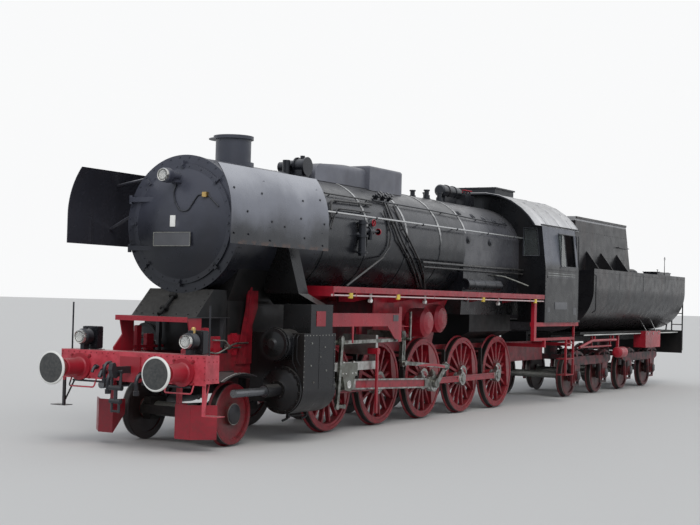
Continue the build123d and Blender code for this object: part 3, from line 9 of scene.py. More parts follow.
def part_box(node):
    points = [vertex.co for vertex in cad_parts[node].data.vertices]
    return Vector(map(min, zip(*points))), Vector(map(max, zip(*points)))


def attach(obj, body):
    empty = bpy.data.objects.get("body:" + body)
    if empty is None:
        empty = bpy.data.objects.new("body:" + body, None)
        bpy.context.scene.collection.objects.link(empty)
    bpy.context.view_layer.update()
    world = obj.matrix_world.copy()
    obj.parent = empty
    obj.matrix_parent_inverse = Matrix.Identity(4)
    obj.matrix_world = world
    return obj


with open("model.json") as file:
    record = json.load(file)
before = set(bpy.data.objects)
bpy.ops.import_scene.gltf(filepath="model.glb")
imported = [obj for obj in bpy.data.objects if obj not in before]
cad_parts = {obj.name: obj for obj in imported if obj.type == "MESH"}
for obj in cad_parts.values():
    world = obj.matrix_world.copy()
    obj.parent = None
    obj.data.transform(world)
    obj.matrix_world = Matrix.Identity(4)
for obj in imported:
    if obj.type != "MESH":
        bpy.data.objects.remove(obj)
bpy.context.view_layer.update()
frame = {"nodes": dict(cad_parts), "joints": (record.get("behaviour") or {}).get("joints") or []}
joints = {joint["name"]: Vector(joint["pos_m"]) for joint in frame["joints"] if "pos_m" in joint}

# Places are counted from the driving axle, x rearwards, and from the rail head, in metres
wheel_radius, leading_radius, tender_wheel_radius = 0.7, 0.425, 0.465
coupled_axles = (-3.3, -1.65, 0.0, 1.65, 3.3)
leading_axle = -5.9
tender_axles = (7.4, 9.3, 11.2, 13.1)
origin = joints["driving_wheelset_turn"] - Vector((0, 0, wheel_radius))
boiler_z = 3.07
barrel_radius = 0.945
smokebox_radius = 0.965
smokebox_front_x = -6.1
door_x = -6.1003
beam_x = -7.15
platform_x = -6.75
buffer_y, buffer_z, buffer_radius = 0.875, 1.05, 0.2
lamp_y = 0.9
frame_y = 0.545
side_rod_y, main_rod_y = 0.94, 1.15
cylinder_y, cylinder_z, valve_z = 1.15, 0.75, 1.4
# The casings' outer faces; what stands on them starts a little inside
casing_y, seated_y = 1.5, 1.4985
cab_front_x = 4.08
cab_half_width, cab_eaves_half_width = 1.5, 1.4
cab_sill_z, cab_eaves_z, cab_crown_z = 2.79, 3.65, 4.31
board_z = 2.25
handrail_z = 3.4
tub_half_width = 1.45
near, far = -1, 1
ahead, rearwards, out, up = (-1, 0, 0), (1, 0, 0), (0, 1, 0), (0, 0, 1)

dust_color = (0.235, 0.225, 0.21)
# the colour of a painted sheen: the sky's reflection on faces that tilt upwards
film_color = (0.21, 0.22, 0.25)
grime_color = (0.045, 0.033, 0.028)
rust_color = (0.15, 0.065, 0.03)
white_color = (0.72, 0.72, 0.69)
band_color = (0.5, 0.5, 0.49)
steel_color = (0.34, 0.345, 0.32)
rod_color = (0.5, 0.5, 0.48)
black_color = (0.0065, 0.007, 0.0095)
# soot black, also used as painted shade on the cylinders' fronts
soot_and_shade_color = (0.006, 0.0058, 0.0056)
deck_color = (0.02, 0.019, 0.02)
red_color = (0.3, 0.009, 0.02)


def at(x, y, z):
    return origin + Vector((x, y, z))


def scaled(color, share):
    return tuple(min(1.0, channel * share) for channel in color)


def add_object(name, data):
    made = bpy.data.objects.new(name, data)
    bpy.context.scene.collection.objects.link(made)
    return made


def add_camera():
    """The camera stands ahead of the engine on its left, at eye height."""
    place = Vector((-24.816, -11.294, 2.101))
    heading, pitch, roll = math.radians(60.27), math.radians(1.57), math.radians(1.48)
    data = bpy.data.cameras.new("camera")
    data.lens = 67.75
    data.sensor_width = 36.0
    data.sensor_fit = "HORIZONTAL"
    data.clip_end = 400
    camera = add_object("camera", data)
    level_reach = math.cos(pitch)
    forward = Vector((math.sin(heading) * level_reach, math.cos(heading) * level_reach, math.sin(pitch)))
    level = Vector((math.cos(heading), -math.sin(heading), 0))
    upwards = level.cross(forward)
    across = level * math.cos(roll) + upwards * math.sin(roll)
    upright = upwards * math.cos(roll) - level * math.sin(roll)
    turn = Matrix((across, upright, -forward)).transposed().to_4x4()
    camera.matrix_world = Matrix.Translation(place) @ turn
    bpy.context.scene.camera = camera


def add_world():
    """Soft sky light; the camera, reflections and glass see a pale background."""
    world = bpy.data.worlds.new("sky")
    bpy.context.scene.world = world
    world.use_nodes = True
    tree, links = world.node_tree.nodes, world.node_tree.links
    tree.clear()
    result = tree.new("ShaderNodeOutputWorld")
    mix = tree.new("ShaderNodeMixShader")
    path = tree.new("ShaderNodeLightPath")
    light, shown = ((0.88, 0.93, 1.0, 1), 0.72), ((0.95, 0.955, 0.96, 1), 1.0)
    for index, (color, strength) in enumerate((light, shown), start=1):
        background = tree.new("ShaderNodeBackground")
        background.inputs["Color"].default_value = color
        background.inputs["Strength"].default_value = strength
        links.new(background.outputs[0], mix.inputs[index])
    seen = path.outputs["Is Camera Ray"]
    for ray in ("Is Glossy Ray", "Is Transmission Ray"):
        either = tree.new("ShaderNodeMath")
        either.operation = "MAXIMUM"
        links.new(seen, either.inputs[0])
        links.new(path.outputs[ray], either.inputs[1])
        seen = either.outputs[0]
    links.new(seen, mix.inputs[0])
    links.new(mix.outputs[0], result.inputs["Surface"])


def add_sun():
    data = bpy.data.lights.new("sun", "SUN")
    data.energy = 1.5
    data.color = (1.0, 0.98, 0.95)
    data.angle = math.radians(40)
    lamp = add_object("sun", data)
    lamp.rotation_euler = Vector((20, 18, -30)).to_track_quat("-Z", "Y").to_euler()


def add_floor():
    reach = 300
    mesh = bpy.data.meshes.new("floor")
    corners = [(x * reach, y * reach, 0) for x, y in ((-1, -1), (1, -1), (1, 1), (-1, 1))]
    mesh.from_pydata(corners, [], [(0, 1, 2, 3)])
    floor = add_object("floor", mesh)
    material = bpy.data.materials.new("floor")
    material.use_nodes = True
    shader = material.node_tree.nodes["Principled BSDF"]
    shader.inputs["Base Color"].default_value = (0.52, 0.515, 0.505, 1)
    shader.inputs["Roughness"].default_value = 0.9
    mesh.materials.append(material)


class Shade:
    """A material's node tree, put together from small steps that each return a socket."""

    def __init__(self, name):
        self.material = bpy.data.materials.new(name)
        self.material.use_nodes = True
        self.tree = self.material.node_tree.nodes
        self.links = self.material.node_tree.links
        self.shader = self.tree["Principled BSDF"]
        self.coordinates = self.tree.new("ShaderNodeTexCoord")

    def feed(self, socket, value):
        if isinstance(value, bpy.types.NodeSocket):
            self.links.new(value, socket)
        elif hasattr(value, "__len__") and len(value) == 3 and socket.type == "RGBA":
            socket.default_value = (*value, 1)
        else:
            socket.default_value = value

    def math(self, operation, first, second=0.0, clamp=False):
        node = self.tree.new("ShaderNodeMath")
        node.operation = operation
        node.use_clamp = clamp
        self.feed(node.inputs[0], first)
        self.feed(node.inputs[1], second)
        return node.outputs[0]

    def times(self, first, second):
        return self.math("MULTIPLY", first, second)

    def size(self, value):
        return self.math("ABSOLUTE", value)

    def place(self, centre=(0, 0, 0), stretch=(1, 1, 1)):
        node = self.tree.new("ShaderNodeMapping")
        self.links.new(self.coordinates.outputs["Object"], node.inputs["Vector"])
        node.inputs["Location"].default_value = tuple(-c * s for c, s in zip(centre, stretch))
        node.inputs["Scale"].default_value = stretch
        return node.outputs[0]

    def axis(self, vector, letter):
        node = self.tree.new("ShaderNodeSeparateXYZ")
        self.links.new(vector, node.inputs[0])
        return node.outputs[letter.upper()]

    def along(self, letter, zero=0.0):
        """A coordinate, counted from zero on its axis."""
        return self.axis(self.place(at(zero, zero, zero)), letter)

    def side(self):
        """The distance from the engine's middle."""
        return self.size(self.along("y"))

    def facing(self, letter):
        return self.axis(self.coordinates.outputs["Normal"], letter)

    def flank(self, start=0.5, end=0.8):
        """Faces that look to either side."""
        return self.step(self.size(self.facing("y")), start, end)

    def outward(self):
        """How far a face looks away from the engine's middle, from -1 to 1."""
        return self.times(self.math("SIGN", self.along("y")), self.facing("y"))

    def radius(self, centre, across="xz"):
        """The distance from a line through centre, along the axis that across leaves out."""
        stretch = tuple(1.0 if letter in across else 0.0 for letter in "xyz")
        node = self.tree.new("ShaderNodeVectorMath")
        node.operation = "LENGTH"
        self.links.new(self.place(centre, stretch), node.inputs[0])
        return node.outputs["Value"]

    def side_radius(self, y, z):
        """The distance from the nearer of two lengthwise lines, at height z and y to either side."""
        aside = self.math("SUBTRACT", self.side(), y)
        squares = [self.math("POWER", distance, 2.0) for distance in (aside, self.along("z", z))]
        return self.math("SQRT", self.math("ADD", *squares))

    def noise(self, scale, detail=6.0, stretch=(1, 1, 1), rough=0.55):
        node = self.tree.new("ShaderNodeTexNoise")
        self.links.new(self.place(stretch=stretch), node.inputs["Vector"])
        node.inputs["Scale"].default_value = scale
        node.inputs["Detail"].default_value = detail
        node.inputs["Roughness"].default_value = rough
        return node.outputs[0]

    def step(self, value, start, end, low=0.0, high=1.0):
        """A smooth step of value from low at start to high at end."""
        node = self.tree.new("ShaderNodeMapRange")
        node.interpolation_type = "SMOOTHSTEP"
        self.feed(node.inputs["Value"], value)
        flipped = start > end
        node.inputs["From Min"].default_value = min(start, end)
        node.inputs["From Max"].default_value = max(start, end)
        node.inputs["To Min"].default_value = high if flipped else low
        node.inputs["To Max"].default_value = low if flipped else high
        return node.outputs[0]

    def within(self, value, low, high, edge=0.002):
        return self.times(self.step(value, low - edge, low + edge), self.step(value, high + edge, high - edge))

    def both(self, *masks):
        result = masks[0]
        for mask in masks[1:]:
            result = self.times(result, mask)
        return result

    def either(self, *masks):
        result = masks[0]
        for mask in masks[1:]:
            result = self.math("MAXIMUM", result, mask)
        return result

    def mix(self, factor, first, second):
        node = self.tree.new("ShaderNodeMix")
        node.data_type = "RGBA"
        sockets = [socket for socket in node.inputs if socket.type == "RGBA"]
        self.feed(node.inputs["Factor"], factor)
        self.feed(sockets[0], first)
        self.feed(sockets[1], second)
        return [socket for socket in node.outputs if socket.type == "RGBA"][0]

    def patchy(self, scale, start, end, first, second, detail=6.0):
        """Patches of a second color on a first one."""
        return self.mix(self.step(self.noise(scale, detail), start, end), first, second)

    def blend(self, factor, first, second):
        """The same as mix, for plain numbers."""
        node = self.tree.new("ShaderNodeMix")
        self.feed(node.inputs["Factor"], factor)
        self.feed(node.inputs["A"], first)
        self.feed(node.inputs["B"], second)
        return node.outputs["Result"]

    def bump(self, height, strength, distance, under=None):
        node = self.tree.new("ShaderNodeBump")
        node.inputs["Strength"].default_value = strength
        node.inputs["Distance"].default_value = distance
        self.links.new(height, node.inputs["Height"])
        if under is not None:
            self.links.new(under, node.inputs["Normal"])
        return node.outputs[0]


def weather(shade, color, roughness, dust=0.5, grime=0.5, streaks=0.3, waves=0.4, metallic=None, specular=0.5,
            film=0.0):
    """Dust on what faces up, grime low down, runs, a painted sky sheen on what tilts upwards, uneven gloss and a
    slightly wavy sheet.
    """
    patches = shade.noise(1.1, 5.0)
    spots = shade.noise(17.0, rough=0.65)
    runs = shade.noise(2.6, stretch=(1.6, 0.5, 0.11))
    dusty = shade.both(shade.step(shade.facing("z"), 0.3, 0.98), shade.step(spots, 0.25, 0.75, 0.45, 1.0), dust)
    height = shade.axis(shade.place(), "z")
    low_down = shade.both(shade.step(height, 1.7, 0.15), shade.step(spots, 0.35, 0.7, 0.3, 1.0), grime)
    run_down = shade.both(shade.step(runs, 0.5, 0.72), shade.step(shade.facing("z"), 0.6, 0.1), streaks)
    # painted sheen: a pale bluish colour on what tilts upwards, standing for the sky's reflection
    filmed = shade.both(shade.step(shade.facing("z"), -0.2, 0.8), shade.step(patches, 0.2, 0.7, 0.6, 1.0), film)
    if not isinstance(color, bpy.types.NodeSocket):
        color = shade.mix(shade.step(patches, 0.3, 0.7), scaled(color, 0.72), scaled(color, 1.25))
    for cover, cover_color in ((filmed, film_color), (run_down, grime_color), (low_down, grime_color),
                               (dusty, dust_color)):
        color = shade.mix(cover, color, cover_color)
    shade.feed(shade.shader.inputs["Base Color"], color)
    shade.shader.inputs["Specular IOR Level"].default_value = specular
    shade.shader.inputs["Specular Tint"].default_value = (0.86, 0.91, 1.0, 1)
    covered = shade.either(dusty, low_down, run_down)
    gloss = shade.math("ADD", shade.step(shade.noise(5.0, 5.0), 0.3, 0.7, -0.07, 0.07), roughness)
    shade.feed(shade.shader.inputs["Roughness"], shade.blend(shade.times(covered, 0.8), gloss, 0.75))
    if metallic is not None:
        clean = shade.math("SUBTRACT", 1.0, covered, clamp=True)
        shade.feed(shade.shader.inputs["Metallic"], shade.math("MULTIPLY", metallic, clean, clamp=True))
    wavy = shade.bump(shade.noise(1.7, 2.0), waves, 0.012)
    grain = shade.bump(shade.noise(120.0, 3.0), 0.12, 0.0012, wavy)
    shade.links.new(shade.bump(spots, 0.25, 0.0009, grain), shade.shader.inputs["Normal"])
    return shade.material


def enamel(name, color, roughness, **weathering):
    return weather(Shade(name), color, roughness, **weathering)


def banded_enamel():
    """Boiler cladding with its light bands, found by their distance from the boiler's axis."""
    shade = Shade("boiler_cladding")
    band = shade.step(shade.radius(at(0, 0, boiler_z), "yz"), barrel_radius + 0.003, barrel_radius + 0.005)
    upper = shade.step(shade.along("z", boiler_z), 0.0, 0.3)
    shown = shade.step(shade.along("x"), -3.2, -3.1)
    paint = shade.patchy(1.1, 0.3, 0.7, (0.006, 0.0065, 0.0085), (0.0105, 0.011, 0.0135), 5.0)
    paint = shade.mix(shade.step(shade.along("z", board_z), -0.02, -0.05), paint, soot_and_shade_color)
    rear = shade.both(shade.step(shade.along("x"), 1.3, 1.5), shade.step(shade.along("z"), 2.5, 2.9))
    paint = shade.mix(rear, paint, (0.055, 0.055, 0.062))
    mask = shade.both(band, upper, shade.step(shade.noise(9.0), 0.3, 0.5), shown)
    return weather(shade, shade.mix(mask, paint, band_color), 0.27, dust=0.25, grime=0.3, streaks=0.15, waves=0.3,
                   specular=0.38, film=0.2)


def wheel_paint(name, axle, tread, worn=1.0):
    """Red wheels with a dark worn tread, a painted highlight along its outer edge, painted shade on their inner
    faces, and oily hubs.
    """
    shade = Shade(name)
    back_y, line_y, pin_y, hub_radius = 0.68, 0.8, 0.826, 0.15
    reach, side = shade.radius(axle), shade.side()
    tread_band = shade.both(shade.step(reach, tread - 0.007, tread - 0.004), shade.flank(0.75, 0.5))
    # painted shade: the wheels' inner faces, turned away from the outside, are painted near black
    back = shade.either(shade.step(side, back_y + 0.012, back_y + 0.006), shade.step(shade.outward(), -0.2, -0.5))
    spots = shade.noise(14.0)
    fresh = scaled(red_color, worn)
    paint = shade.mix(shade.step(spots, 0.3, 0.7), scaled(fresh, 0.6), fresh)
    oily = shade.both(shade.step(reach, 0.36, 0.14), shade.step(spots, 0.3, 0.6), 0.7)
    color = shade.mix(tread_band, shade.mix(oily, paint, grime_color), (0.05, 0.047, 0.045))
    # painted highlight along the tread's outer edge
    edge_highlight = shade.both(tread_band, shade.step(side, line_y - 0.01, line_y + 0.01))
    color = shade.mix(edge_highlight, color, (0.4, 0.39, 0.37))
    color = shade.mix(back, color, (0.022, 0.013, 0.013))
    hub = shade.both(shade.step(reach, hub_radius + 0.015, hub_radius - 0.015), shade.step(side, 0.70, 0.68))
    bare = shade.either(shade.step(side, pin_y - 0.002, pin_y + 0.002), hub)
    metal = shade.either(bare, shade.times(tread_band, 0.9))
    return weather(shade, shade.mix(bare, color, steel_color), 0.36, dust=0.1, grime=0.45, streaks=0.15, waves=0.0,
                   metallic=metal, specular=0.35)


def rod_paint(name, middle_y, web_half, pins, clear):
    """Polished steel with a red web: the web is what lies within web_half of the rod's middle."""
    shade = Shade(name)
    offset = shade.size(shade.math("SUBTRACT", shade.side(), middle_y))
    web = shade.both(shade.step(offset, web_half + 0.001, web_half - 0.001), shade.flank())
    for pin in pins:
        web = shade.both(web, shade.step(shade.radius(pin), clear - 0.003, clear + 0.003))
    spots = shade.noise(12.0)
    polished = shade.mix(shade.step(spots, 0.32, 0.62), rod_color, (0.22, 0.22, 0.2))
    paint = shade.mix(shade.step(spots, 0.4, 0.75), red_color, scaled(red_color, 0.5))
    return weather(shade, shade.mix(web, polished, paint), 0.34, dust=0.12, grime=0.12, streaks=0.12, waves=0.0,
                   metallic=shade.math("SUBTRACT", 1.0, web))


def bare_steel(name, color=steel_color, roughness=0.36, oil=0.6):
    shade = Shade(name)
    oily = shade.times(shade.step(shade.noise(9.0), 0.4, 0.7), oil)
    return weather(shade, shade.mix(oily, color, (0.1, 0.085, 0.065)), roughness, dust=0.1, grime=0.15,
                   streaks=0.15, waves=0.0, metallic=0.95)


def gear_paint():
    """The valve gear: steel with a red web on the rod from the return crank to the link."""
    shade = Shade("valve_gear_steel")
    # the rod is a slight arc about this point
    arc_centre, arc_radius, web_half = at(-0.815, 0, -2.975), 3.95, 0.022
    web = shade.both(shade.within(shade.along("x"), -1.5, -0.14), shade.step(shade.side(), 1.255, 1.26),
                     shade.flank(),
                     shade.within(shade.radius(arc_centre), arc_radius - web_half, arc_radius + web_half, 0.004))
    plain = shade.patchy(10.0, 0.35, 0.65, steel_color, (0.12, 0.12, 0.1))
    return weather(shade, shade.mix(web, plain, red_color), 0.33, dust=0.12, grime=0.1, streaks=0.12, waves=0.0,
                   metallic=shade.math("SUBTRACT", 1.0, web))


def buffer_paint(name, face_x):
    """Red housings, and a dark greasy disc with a white rim."""
    shade = Shade(name)
    reach = shade.side_radius(buffer_y, buffer_z)
    depth = shade.size(shade.math("SUBTRACT", shade.along("x"), face_x))
    disc = shade.step(depth, 0.033, 0.031)
    spots = shade.noise(30.0)
    rim = shade.both(disc, shade.step(reach, buffer_radius - 0.001, buffer_radius + 0.0015),
                     shade.step(spots, 0.12, 0.2))
    dark = shade.mix(shade.step(spots, 0.3, 0.7), (0.028, 0.03, 0.029), (0.058, 0.058, 0.054))
    color = shade.mix(rim, shade.mix(disc, red_color, dark), white_color)
    plunger = shade.both(shade.step(depth, 0.034, 0.036), shade.step(reach, 0.095, 0.092))
    return weather(shade, shade.mix(plunger, color, (0.2, 0.03, 0.03)), 0.45, dust=0.25, grime=0.15, streaks=0.25,
                   waves=0.0)


def frame_paint():
    """Grimy red plates, darker inside, with dark guards over the leading wheels."""
    shade = Shade("frame_red")
    side = shade.side()
    guard = shade.both(shade.within(shade.along("x"), leading_axle - 0.51, leading_axle + 0.31),
                       shade.step(side, 0.56, 0.565), shade.within(shade.along("z"), 0.88, 1.01))
    paint = shade.patchy(8.0, 0.35, 0.7, scaled(red_color, 0.85), scaled(red_color, 0.45))
    paint = shade.mix(shade.step(side, 0.53, 0.49), paint, (0.02, 0.008, 0.009))
    return weather(shade, shade.mix(guard, paint, (0.03, 0.027, 0.03)), 0.42, dust=0.3, grime=0.8, streaks=0.4,
                   waves=0.0)


def decked_red():
    """Red edges and posts, a red pipe below them painted pale as a highlight, and a dark tread plate."""
    shade = Shade("decked_red")
    paint = shade.patchy(12.0, 0.35, 0.75, red_color, scaled(red_color, 0.6))
    # painted highlight: the red pipe below the fascia is painted pale pink
    pipe = shade.both(shade.within(shade.along("z"), 2.104, 2.136), shade.within(shade.side(), 1.46, 1.494))
    paint = shade.mix(pipe, paint, (0.6, 0.45, 0.45))
    deck = shade.step(shade.facing("z"), 0.6, 0.9)
    return weather(shade, shade.mix(deck, paint, deck_color), 0.36, dust=0.3, grime=0.3, streaks=0.25, waves=0.1)


def beam_paint():
    """The red beam with a dusty top and a dark step at its far end."""
    shade = Shade("beam_red")
    far_step = shade.both(shade.step(shade.along("z"), 0.86, 0.84), shade.step(shade.along("y"), 1.0, 1.02))
    paint = shade.patchy(12.0, 0.35, 0.75, (0.56, 0.06, 0.085), (0.4, 0.032, 0.046))
    return weather(shade, shade.mix(far_step, paint, black_color), 0.34, dust=0.65, grime=0.25, streaks=0.3,
                   waves=0.1)


def saddle_paint():
    """Black saddle and apron whose foot, between the frame plates, is red."""
    shade = Shade("saddle_black")
    foot = shade.both(shade.step(shade.along("z"), 1.53, 1.5), shade.step(shade.along("x"), -5.15, -5.2),
                      shade.flank())
    return weather(shade, shade.mix(foot, soot_and_shade_color, red_color), 0.4, dust=0.25, grime=0.2, streaks=0.2,
                   waves=0.2, specular=0.35)


def cylinder_paint():
    """Dark casings with painted shade on all but their sideways faces, and oiled steel tail tubes."""
    shade = Shade("cylinder_black")
    tail = shade.both(shade.step(shade.side_radius(cylinder_y, cylinder_z), 0.078, 0.074),
                      shade.step(shade.along("x"), -5.5, -5.52))
    # painted shade: every face but those that look sideways takes the darker colour
    color = shade.mix(shade.flank(0.55, 0.8), soot_and_shade_color, (0.0085, 0.009, 0.0105))
    return weather(shade, shade.mix(tail, color, (0.16, 0.165, 0.175)), 0.3, dust=0.25, grime=0.2, streaks=0.15,
                   waves=0.3, metallic=tail, specular=0.27)


def pipe_paint():
    """Dark pipes and the bright handrail above them."""
    shade = Shade("pipe_black")
    rail = shade.both(shade.within(shade.along("z", handrail_z), -0.018, 0.018),
                      shade.step(shade.side(), 0.96, 0.965))
    dark = shade.patchy(14.0, 0.4, 0.75, (0.012, 0.012, 0.013), (0.05, 0.046, 0.042))
    return weather(shade, shade.mix(rail, dark, band_color), 0.3, dust=0.25, grime=0.2, streaks=0.0, waves=0.0,
                   metallic=shade.times(rail, 0.8))


def bogie_paint():
    """Old red under thick brown-black grime."""
    shade = Shade("bogie_red")
    color = shade.patchy(5.0, 0.42, 0.6, scaled(red_color, 0.42), (0.014, 0.009, 0.009), 7.0)
    return weather(shade, color, 0.5, dust=0.25, grime=0.5, streaks=0.3, waves=0.0)


def deflector_paint():
    """Black sheets with a painted reflection of the sky, paler towards their curved tops, and rusty lower edges."""
    shade = Shade("deflector_black")
    height = shade.along("z")
    level = shade.math("ADD", height, shade.step(shade.noise(1.4, 5.0), 0.25, 0.75, -0.12, 0.12))
    # painted reflection of the sky: the sheet grows paler towards its curved top
    color = shade.mix(shade.step(level, 2.85, 3.35), (0.006, 0.0065, 0.009), (0.16, 0.166, 0.195))
    color = shade.mix(shade.step(level, 3.35, 3.85), color, (0.36, 0.367, 0.4))
    rusty = shade.both(shade.step(height, 2.84, 2.77), shade.step(shade.noise(7.0), 0.45, 0.6, 0.0, 0.35))
    color = shade.mix(rusty, color, rust_color)
    outside = shade.step(shade.outward(), 0.0, 0.3)
    return weather(shade, shade.mix(outside, (0.03, 0.03, 0.038), color), 0.24, dust=0.1, grime=0.0, streaks=0.1,
                   waves=0.4)


def door_paint():
    """The smokebox front, with a painted reflection of the sky that makes it paler towards its top."""
    shade = Shade("smokebox_black")
    level = shade.math("ADD", shade.along("z"), shade.step(shade.noise(1.6, 5.0), 0.25, 0.75, -0.2, 0.2))
    # painted reflection of the sky: paler towards the top
    color = shade.mix(shade.step(level, 2.5, 3.5), (0.0085, 0.009, 0.0125), (0.05, 0.053, 0.071))
    return weather(shade, color, 0.33, dust=0.2, grime=0.25, streaks=0.12, waves=0.3, specular=0.42, film=0.1)


def cab_paint():
    """The cab: a painted reflection of the sky on the sides above the sill, deep black below the sill."""
    shade = Shade("cab_black")
    # painted reflection of the sky on the sides, which lean inwards above the sill
    upper = shade.both(shade.step(shade.along("z"), 2.78, 3.0), shade.flank())
    color = shade.mix(upper, (0.005, 0.0052, 0.0062), (0.078, 0.086, 0.11))
    return weather(shade, color, 0.28, dust=0.3, grime=0.2, streaks=0.25, waves=0.4, specular=0.3)


def coupling_paint():
    """The front hook and its screw: oily black, on a red plate against the beam."""
    shade = Shade("coupling_steel")
    plate = shade.step(shade.along("x", beam_x), -0.045, -0.04)
    color = shade.mix(plate, (0.018, 0.018, 0.02), (0.3, 0.02, 0.03))
    return weather(shade, color, 0.4, dust=0.1, grime=0.0, streaks=0.1, waves=0.0)


def platform_paint():
    """The front platform: red fascia and legs in front, dark deck and rear legs."""
    shade = Shade("platform_red")
    x, z = shade.along("x"), shade.along("z")
    deck = shade.both(shade.step(x, platform_x + 0.005, platform_x + 0.01), shade.step(z, 1.748, 1.752))
    ends = shade.both(shade.step(shade.side(), 0.6, 0.615), shade.step(x, platform_x - 0.005, platform_x))
    dark = shade.either(shade.step(x, -6.3, -6.2), deck, ends)
    return weather(shade, shade.mix(dark, red_color, deck_color), 0.36, dust=0.3, grime=0.3, streaks=0.25,
                   waves=0.1)


def roof_paint():
    """The cab roof: the same black, pale on its upward faces from dust and painted sky light, in long runs down its
    slope.
    """
    shade = Shade("roof_paint")
    runs = shade.noise(2.0, stretch=(1.0, 0.12, 0.12))
    # pale on the slope: partly dust, partly painted light from the sky
    dusty = shade.mix(shade.step(runs, 0.35, 0.7), (0.54, 0.54, 0.55), (0.85, 0.845, 0.85))
    sloped = shade.step(shade.facing("z"), 0.1, 0.35)
    return weather(shade, shade.mix(sloped, black_color, dusty), 0.5, dust=0.8, grime=0.0, streaks=0.1, waves=0.5)


def tender_paint(name, waves, rim_z=None):
    """Satin black with brown runs, browner low down, and a painted pale highlight along a rim."""
    shade = Shade(name)
    runs = shade.noise(2.2, 3.0, stretch=(1.4, 0.0, 0.05))
    patches = shade.noise(0.8, 5.0)
    base = shade.mix(shade.step(patches, 0.3, 0.7), (0.007, 0.007, 0.0085), (0.0135, 0.0125, 0.013))
    brown = shade.both(shade.step(runs, 0.45, 0.68), shade.step(patches, 0.35, 0.6), 0.5)
    color = shade.mix(brown, base, (0.034, 0.022, 0.02))
    height = shade.along("z")
    color = shade.mix(shade.step(height, 2.0, 1.5), color, (0.032, 0.026, 0.028))
    if rim_z:
        # painted highlight: a pale band just below the rim
        edge = shade.both(shade.step(height, rim_z - 0.13, rim_z - 0.11), shade.step(patches, 0.25, 0.6, 0.5, 0.9))
        color = shade.mix(edge, color, (0.4, 0.4, 0.41))
    return weather(shade, color, 0.3, dust=0.4, grime=0.0, streaks=0.0, waves=waves, specular=0.27, film=0.08)


def glass(name, color=(0.93, 0.95, 0.95)):
    shade = Shade(name)
    shade.feed(shade.shader.inputs["Base Color"], color)
    shade.feed(shade.shader.inputs["Roughness"], shade.step(shade.noise(24.0, 4.0), 0.3, 0.8, 0.02, 0.12))
    shade.shader.inputs["IOR"].default_value = 1.5
    shade.shader.inputs["Transmission Weight"].default_value = 0.9
    return shade.material


add_camera()
bpy.context.scene.view_settings.view_transform = "Standard"
add_world()
add_sun()
add_floor()
black = enamel("black_enamel", black_color, 0.3, dust=0.25, grime=0.4, streaks=0.15, waves=0.3, specular=0.4,
               film=0.3)
smoky = door_paint()
casing = cylinder_paint()
red = enamel("red_enamel", red_color, 0.3, dust=0.2, grime=0.35, streaks=0.25, waves=0.1, specular=0.4, film=0.1)
soot = enamel("under_black", soot_and_shade_color, 0.5, dust=0.05, grime=0.4, streaks=0.2, waves=0.0, specular=0.25)
roof_black = roof_paint()
tub_black = tender_paint("tub_black", 0.5)
steel = bare_steel("fitting_steel")
bright = bare_steel("bright_steel", (0.6, 0.6, 0.58), 0.25, 0.2)
brass = bare_steel("brass_fittings", (0.62, 0.43, 0.16), 0.34, 0.4)
white = enamel("white_paint", white_color, 0.5, dust=0.2, grime=0.3, streaks=0.35, waves=0.0)
yellow = enamel("yellow_paint", (0.72, 0.52, 0.06), 0.5, dust=0.2, grime=0.2, streaks=0.2, waves=0.0)
plate_grey = enamel("plate_grey", (0.075, 0.076, 0.082), 0.42, dust=0.3, grime=0.2, streaks=0.3, waves=0.0)
lens = glass("lamp_glass")
pane = glass("window_glass", (0.3, 0.34, 0.34))


